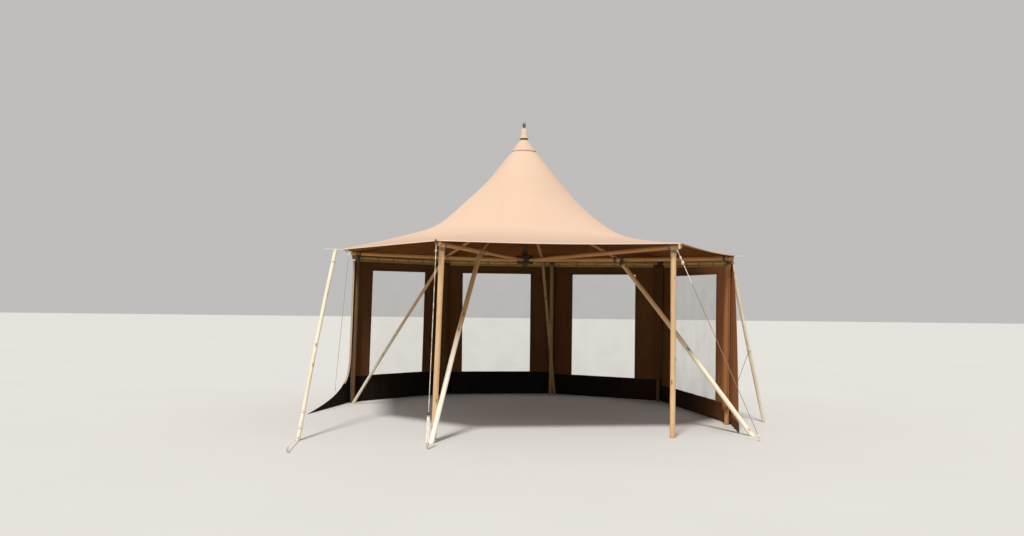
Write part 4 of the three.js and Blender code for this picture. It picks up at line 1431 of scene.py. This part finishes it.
def flap_line(corner):
    """Two straight lines on the ground that meet at a peak outside a corner."""
    start, finish = ends_round(corner, FLAP_HALF, FLAP_HALF, FLAP_PROUD)
    azimuth = CORNERS[corner][0]
    first = wall_before(corner)
    half = math.radians(CORNERS[BAYS[first][0]][0] - azimuth) / 2
    peak = in_plan(azimuth, bay_frame(first)[3] / math.sin(half) + FLAP_PROUD, 0.0, 0.0)
    share = np.linspace(0, 1, 41)
    places = np.stack([start, peak, finish])
    return np.stack([np.interp(share, [0, 0.5, 1], places[:, axis]) for axis in range(3)], axis=-1)


def curve_through(start, peak, finish, count=41):
    """A smooth line between two places that passes a third on its way: a parabola, whose pull is
    set so that its middle is the third place."""
    share = np.linspace(0, 1, count)[:, None]
    pull = 2 * peak - (start + finish) / 2
    return (1 - share) ** 2 * start + 2 * share * (1 - share) * pull + share**2 * finish


for seed, corner in enumerate(("back_left", "back", "back_right"), 320):
    bay = wall_before(corner)
    line = flap_line(corner)
    rail = rail_height(corner)
    flap, length = curtain(
        "corner_flap_" + corner, line, FLAP_FOOT, rail + FLAP_ABOVE, seed, FLAP_FOLD, FLAP_ROWS,
        wall_canvas, "wall_" + bay,
    )
    flap.data.materials.append(skirt_canvas)
    skirt_rows = np.arange(FLAP_ROWS - 1) < round((FLAP_ROWS - 1) * BAYS[bay][3] / rail)
    flap.data.polygons.foreach_set("material_index", np.repeat(skirt_rows, len(line) - 1).astype(np.int32))
for seed, (corner, (before, after, foot)) in enumerate(SLEEVES.items(), 330):
    bay = wall_before(corner)
    top = rail_height(corner) - SLEEVE_BELOW
    start, finish = ends_round(corner, before, after, -SLEEVE_INSET)
    peak = in_plan(CORNERS[corner][0], POST_RING - SLEEVE_PROUD, 0.0, 0.0)
    sleeve, length = curtain(
        "post_sleeve_" + corner, curve_through(start, peak, finish), foot, top, seed, SLEEVE_FOLD,
        SLEEVE_ROWS, wall_canvas, "wall_" + bay,
    )
middle, along, out, reach, _ = bay_frame("right")
azimuth = CORNERS["right"][0]
start = middle + (reach - RIGHT_SLEEVE_START) * along - RIGHT_SLEEVE_INSET * out
peak = in_plan(azimuth, POST_RING - SLEEVE_PROUD, RIGHT_SLEEVE_ASIDE, 0.0)
finish = in_plan(azimuth, POST_RING + RIGHT_SLEEVE_END[0], RIGHT_SLEEVE_END[1], 0.0)
top = rail_height("right") - RIGHT_SLEEVE_BELOW
sleeve, length = curtain(
    "post_sleeve_right", curve_through(start, peak, finish, 33), RIGHT_SLEEVE_FOOT, top, 340,
    RIGHT_SLEEVE_FOLD, SLEEVE_ROWS, wall_canvas, "wall_right", tone_shift=RIGHT_SLEEVE_PAINTED_LIGHT,
)


# Guys: three-strand cotton ropes from the roof poles' ends out over a knotted ring and down to
# short stakes. The front right one goes on as a thin brown line below its second knot, and the
# front left one ends in a strip of webbing with a tensioner.

ROPE_RADIUS = 0.006
WORN_RADIUS = 0.0048
LINE_RADIUS = 0.0042
WHIPPING_RADIUS = 0.0045
KNOT_RADIUS = 0.006
STAKE_RADIUS = 0.013
STAKE_HEIGHT = 0.090
STAKE_LEAN = 0.030
STAKE_HITCH = 0.060
DOUBLED_TO = 0.180
WEBBING_FROM = 0.855
WEBBING_SHORT = 0.020
WEBBING_HALF = 0.017
WEBBING_THICK = 0.0012
WEBBING_ROUND = 0.001
WEBBING_STEP = 0.02
SLIDER_RADIUS = 0.014
RING_RADIUS = 0.016
RING_RISE = 0.010
RING_AXIS = (0.2, 0.2, 1.0)
# Knots on a guy: how far below its turn, the radius that the cord is wound to, and how often
TURN_KNOT = (0.004, 0.0060, 3)
LOWER_KNOT = (0.100, 0.0055, 4)
END_KNOT = (0.170, 0.0100, 3)
# Corner: the ring out and up, and the stake's place in plan
GUYS = {
    "left": ((3.300, 2.480), (-3.430, 2.950)),
    "back_left": ((3.300, 2.470), (-1.700, 3.750)),
    "back": ((3.300, 2.470), (0.730, 4.140)),
    "back_right": ((3.300, 2.450), (2.720, 3.080)),
    "front_right": ((3.170, 2.432), (2.957, -2.660)),
    "front_left": ((3.272, 2.466), (-1.177, -3.620)),
}
white_rope = cord_finish("rope", light=(0.88, 0.84, 0.76), dark=(0.74, 0.68, 0.57))
mottled_rope = cord_finish(
    "mottled_rope", light=(0.90, 0.84, 0.76), dark=(0.36, 0.25, 0.17), patches=16.0
)
ROPE_FINISHES = {"front_left": mottled_rope}
bleached = pole_finish(
    "bleached_pine", light=(0.86, 0.80, 0.66), dark=(0.74, 0.64, 0.48),
    streak=(0.55, 0.44, 0.30), knot=(0.25, 0.17, 0.10), roughness=0.7,
)


def straight(start, end, step=0.007):
    """Evenly spaced points from one place to another."""
    count = max(2, int(np.linalg.norm(end - start) / step))
    return start + np.linspace(0, 1, count)[:, None] * (end - start)


def stake(corner, place, pull, node_name):
    """A short peg that leans away from what pulls on it. Returns its hitch and its direction."""
    foot = np.array([*place, 0.0]) + CENTRE
    away = unit((foot - pull) * [1, 1, 0])
    head = foot + STAKE_LEAN * away + [0, 0, STAKE_HEIGHT]
    peg = pole("stake_" + corner, foot, head, STAKE_RADIUS, 5, stands=True, bow=0.0, sides=16)
    fit(peg, bleached, node_name)
    return foot + (head - foot) * STAKE_HITCH / STAKE_HEIGHT, unit(head - foot)


def webbing(name, start, end, node_name):
    """A flat woven strap between two places: a closed profile, wide and thin with rounded edges,
    carried along a straight line and turned to face the front."""
    along = unit(end - start)
    side = unit(np.cross(along, [0.0, 1.0, 0.0]))
    flat = np.cross(side, along)
    shoulder = WEBBING_HALF - WEBBING_ROUND
    profile = np.array([
        (-WEBBING_HALF, 0), (-shoulder, WEBBING_THICK), (shoulder, WEBBING_THICK),
        (WEBBING_HALF, 0), (shoulder, -WEBBING_THICK), (-shoulder, -WEBBING_THICK),
    ])
    line = straight(start, end, WEBBING_STEP)
    points = line[:, None] + profile[None, :, :1] * side + profile[None, :, 1:] * flat
    faces = capped(len(line), len(profile))
    strap = shape(name, np.concatenate([points.reshape(-1, 3), line[:1], line[-1:]]), faces)
    fit(strap, white_rope, node_name)


def knot_below(turn, down, sizes, cord, seed):
    """Cord wound round a guy, somewhere below its turn."""
    drop, radius, turns = sizes
    return wound(turn + drop * down, down, radius, cord, turns, seed)


for corner, ((ring_out, ring_height), place) in GUYS.items():
    node_name = "guy_" + corner
    root = on_spoke(corner, POST_RING + POST_RADIUS)
    turn = in_plan(CORNERS[corner][0], ring_out, 0.0, ring_height)
    hitch, peg_axis = stake(corner, place, turn, node_name)
    down = unit(hitch - turn)
    seed = len(corner)
    white_end = turn + DOUBLED_TO * (hitch - turn) if corner == "front_right" else hitch
    parts = [
        rope(straight(root, turn), ROPE_RADIUS),
        rope(straight(turn, white_end), WORN_RADIUS if "front" in corner else ROPE_RADIUS),
        knot_below(turn, down, TURN_KNOT, WHIPPING_RADIUS, 400 + seed),
        knot_below(turn, down, LOWER_KNOT, WHIPPING_RADIUS, 410 + seed),
        wound(hitch, peg_axis, STAKE_RADIUS, WHIPPING_RADIUS, 3, 420 + seed),
    ]
    if corner == "front_right":
        parts.append(knot_below(turn, down, END_KNOT, KNOT_RADIUS, 425))
        line = together("guy_line_" + corner, [rope(straight(white_end, hitch), LINE_RADIUS)])
        fit(line, hemp_cord, node_name)
    fit(together("guy_rope_" + corner, parts), ROPE_FINISHES.get(corner, white_rope), node_name)
    if corner == "front_left":
        strap_top = turn + WEBBING_FROM * (hitch - turn)
        webbing("guy_webbing_" + corner, strap_top, hitch - WEBBING_SHORT * down, node_name)
        slider = wound(strap_top, down, SLIDER_RADIUS, KNOT_RADIUS, 3, 430)
        fit(together("guy_tensioner_" + corner, [slider]), tarred_cord, node_name)
        ring = wound(turn + [0, 0, RING_RISE], RING_AXIS, RING_RADIUS, KNOT_RADIUS, 4, 431)
        fit(together("guy_ring_" + corner, [ring]), tarred_cord, node_name)


# Leaning poles: two bleached poles at the fore left and right corners, each with a strap to the
# canvas corner and a rope that holds it. The right one stands outside the wall.

RAKING_RADIUS = 0.026
HEAD_BELOW = 0.010
STRAP_BELOW = 0.007
STRAP_END = 3.330
STRAP_RADIUS = 0.005
STRAP_LAP = 0.1
BAND_RADIUS = 0.005
# Corner: the head out and aside, the foot in plan, how far up the rope is tied, the stake, the
# bow, and the places of its bands of cord
RAKING = {
    "right": ((3.105, 0.172), (3.540, -0.700), 0.44, (3.090, -0.250), 0.004, (0.44, 0.87)),
    "fore_left": ((3.155, 0.0), (-2.830, -3.050), 0.02, (-2.751, -3.980), 0.012, (0.06, 0.138, 0.93)),
}
for index, (corner, ((out, aside), base, tie, place, bow, bands)) in enumerate(RAKING.items()):
    azimuth, tip, eave, _ = CORNERS[corner]
    node_name = "raking_pole_" + corner
    foot = np.array([*base, 0.0]) + CENTRE
    head = in_plan(azimuth, out, aside, eave - HEAD_BELOW)
    leaning = pole(
        "leaning_pole_" + corner, foot, head, RAKING_RADIUS, 90 + index, stands=True, bow=bow,
        toward=(-1, 0, 0),
    )
    fit(leaning, bleached, node_name)
    tied = foot + (head - foot) * tie
    hitch, peg_axis = stake(corner, place, tied, node_name)
    canvas_corner = in_plan(azimuth, tip, 0.0, eave - STRAP_BELOW)
    strap_end = in_plan(azimuth, STRAP_END, 0.0, eave - STRAP_BELOW)
    strap_turn = head + STRAP_LAP * (canvas_corner - head)
    parts = [
        rope(straight(tied, hitch), ROPE_RADIUS),
        rope(straight(strap_turn, strap_end), STRAP_RADIUS),
        wound(hitch, peg_axis, STAKE_RADIUS, WHIPPING_RADIUS, 3, 440 + index),
    ]
    for seed, band in enumerate(bands, 450):
        on_pole = foot + (head - foot) * band + [-bow * math.sin(math.pi * band), 0, 0]
        parts.append(wound(on_pole, head - foot, RAKING_RADIUS, BAND_RADIUS, 3, seed))
    if out > tip:
        parts.append(rope(straight(canvas_corner, head), STRAP_RADIUS))
    fit(together("leaning_ropes_" + corner, parts), white_rope, node_name)
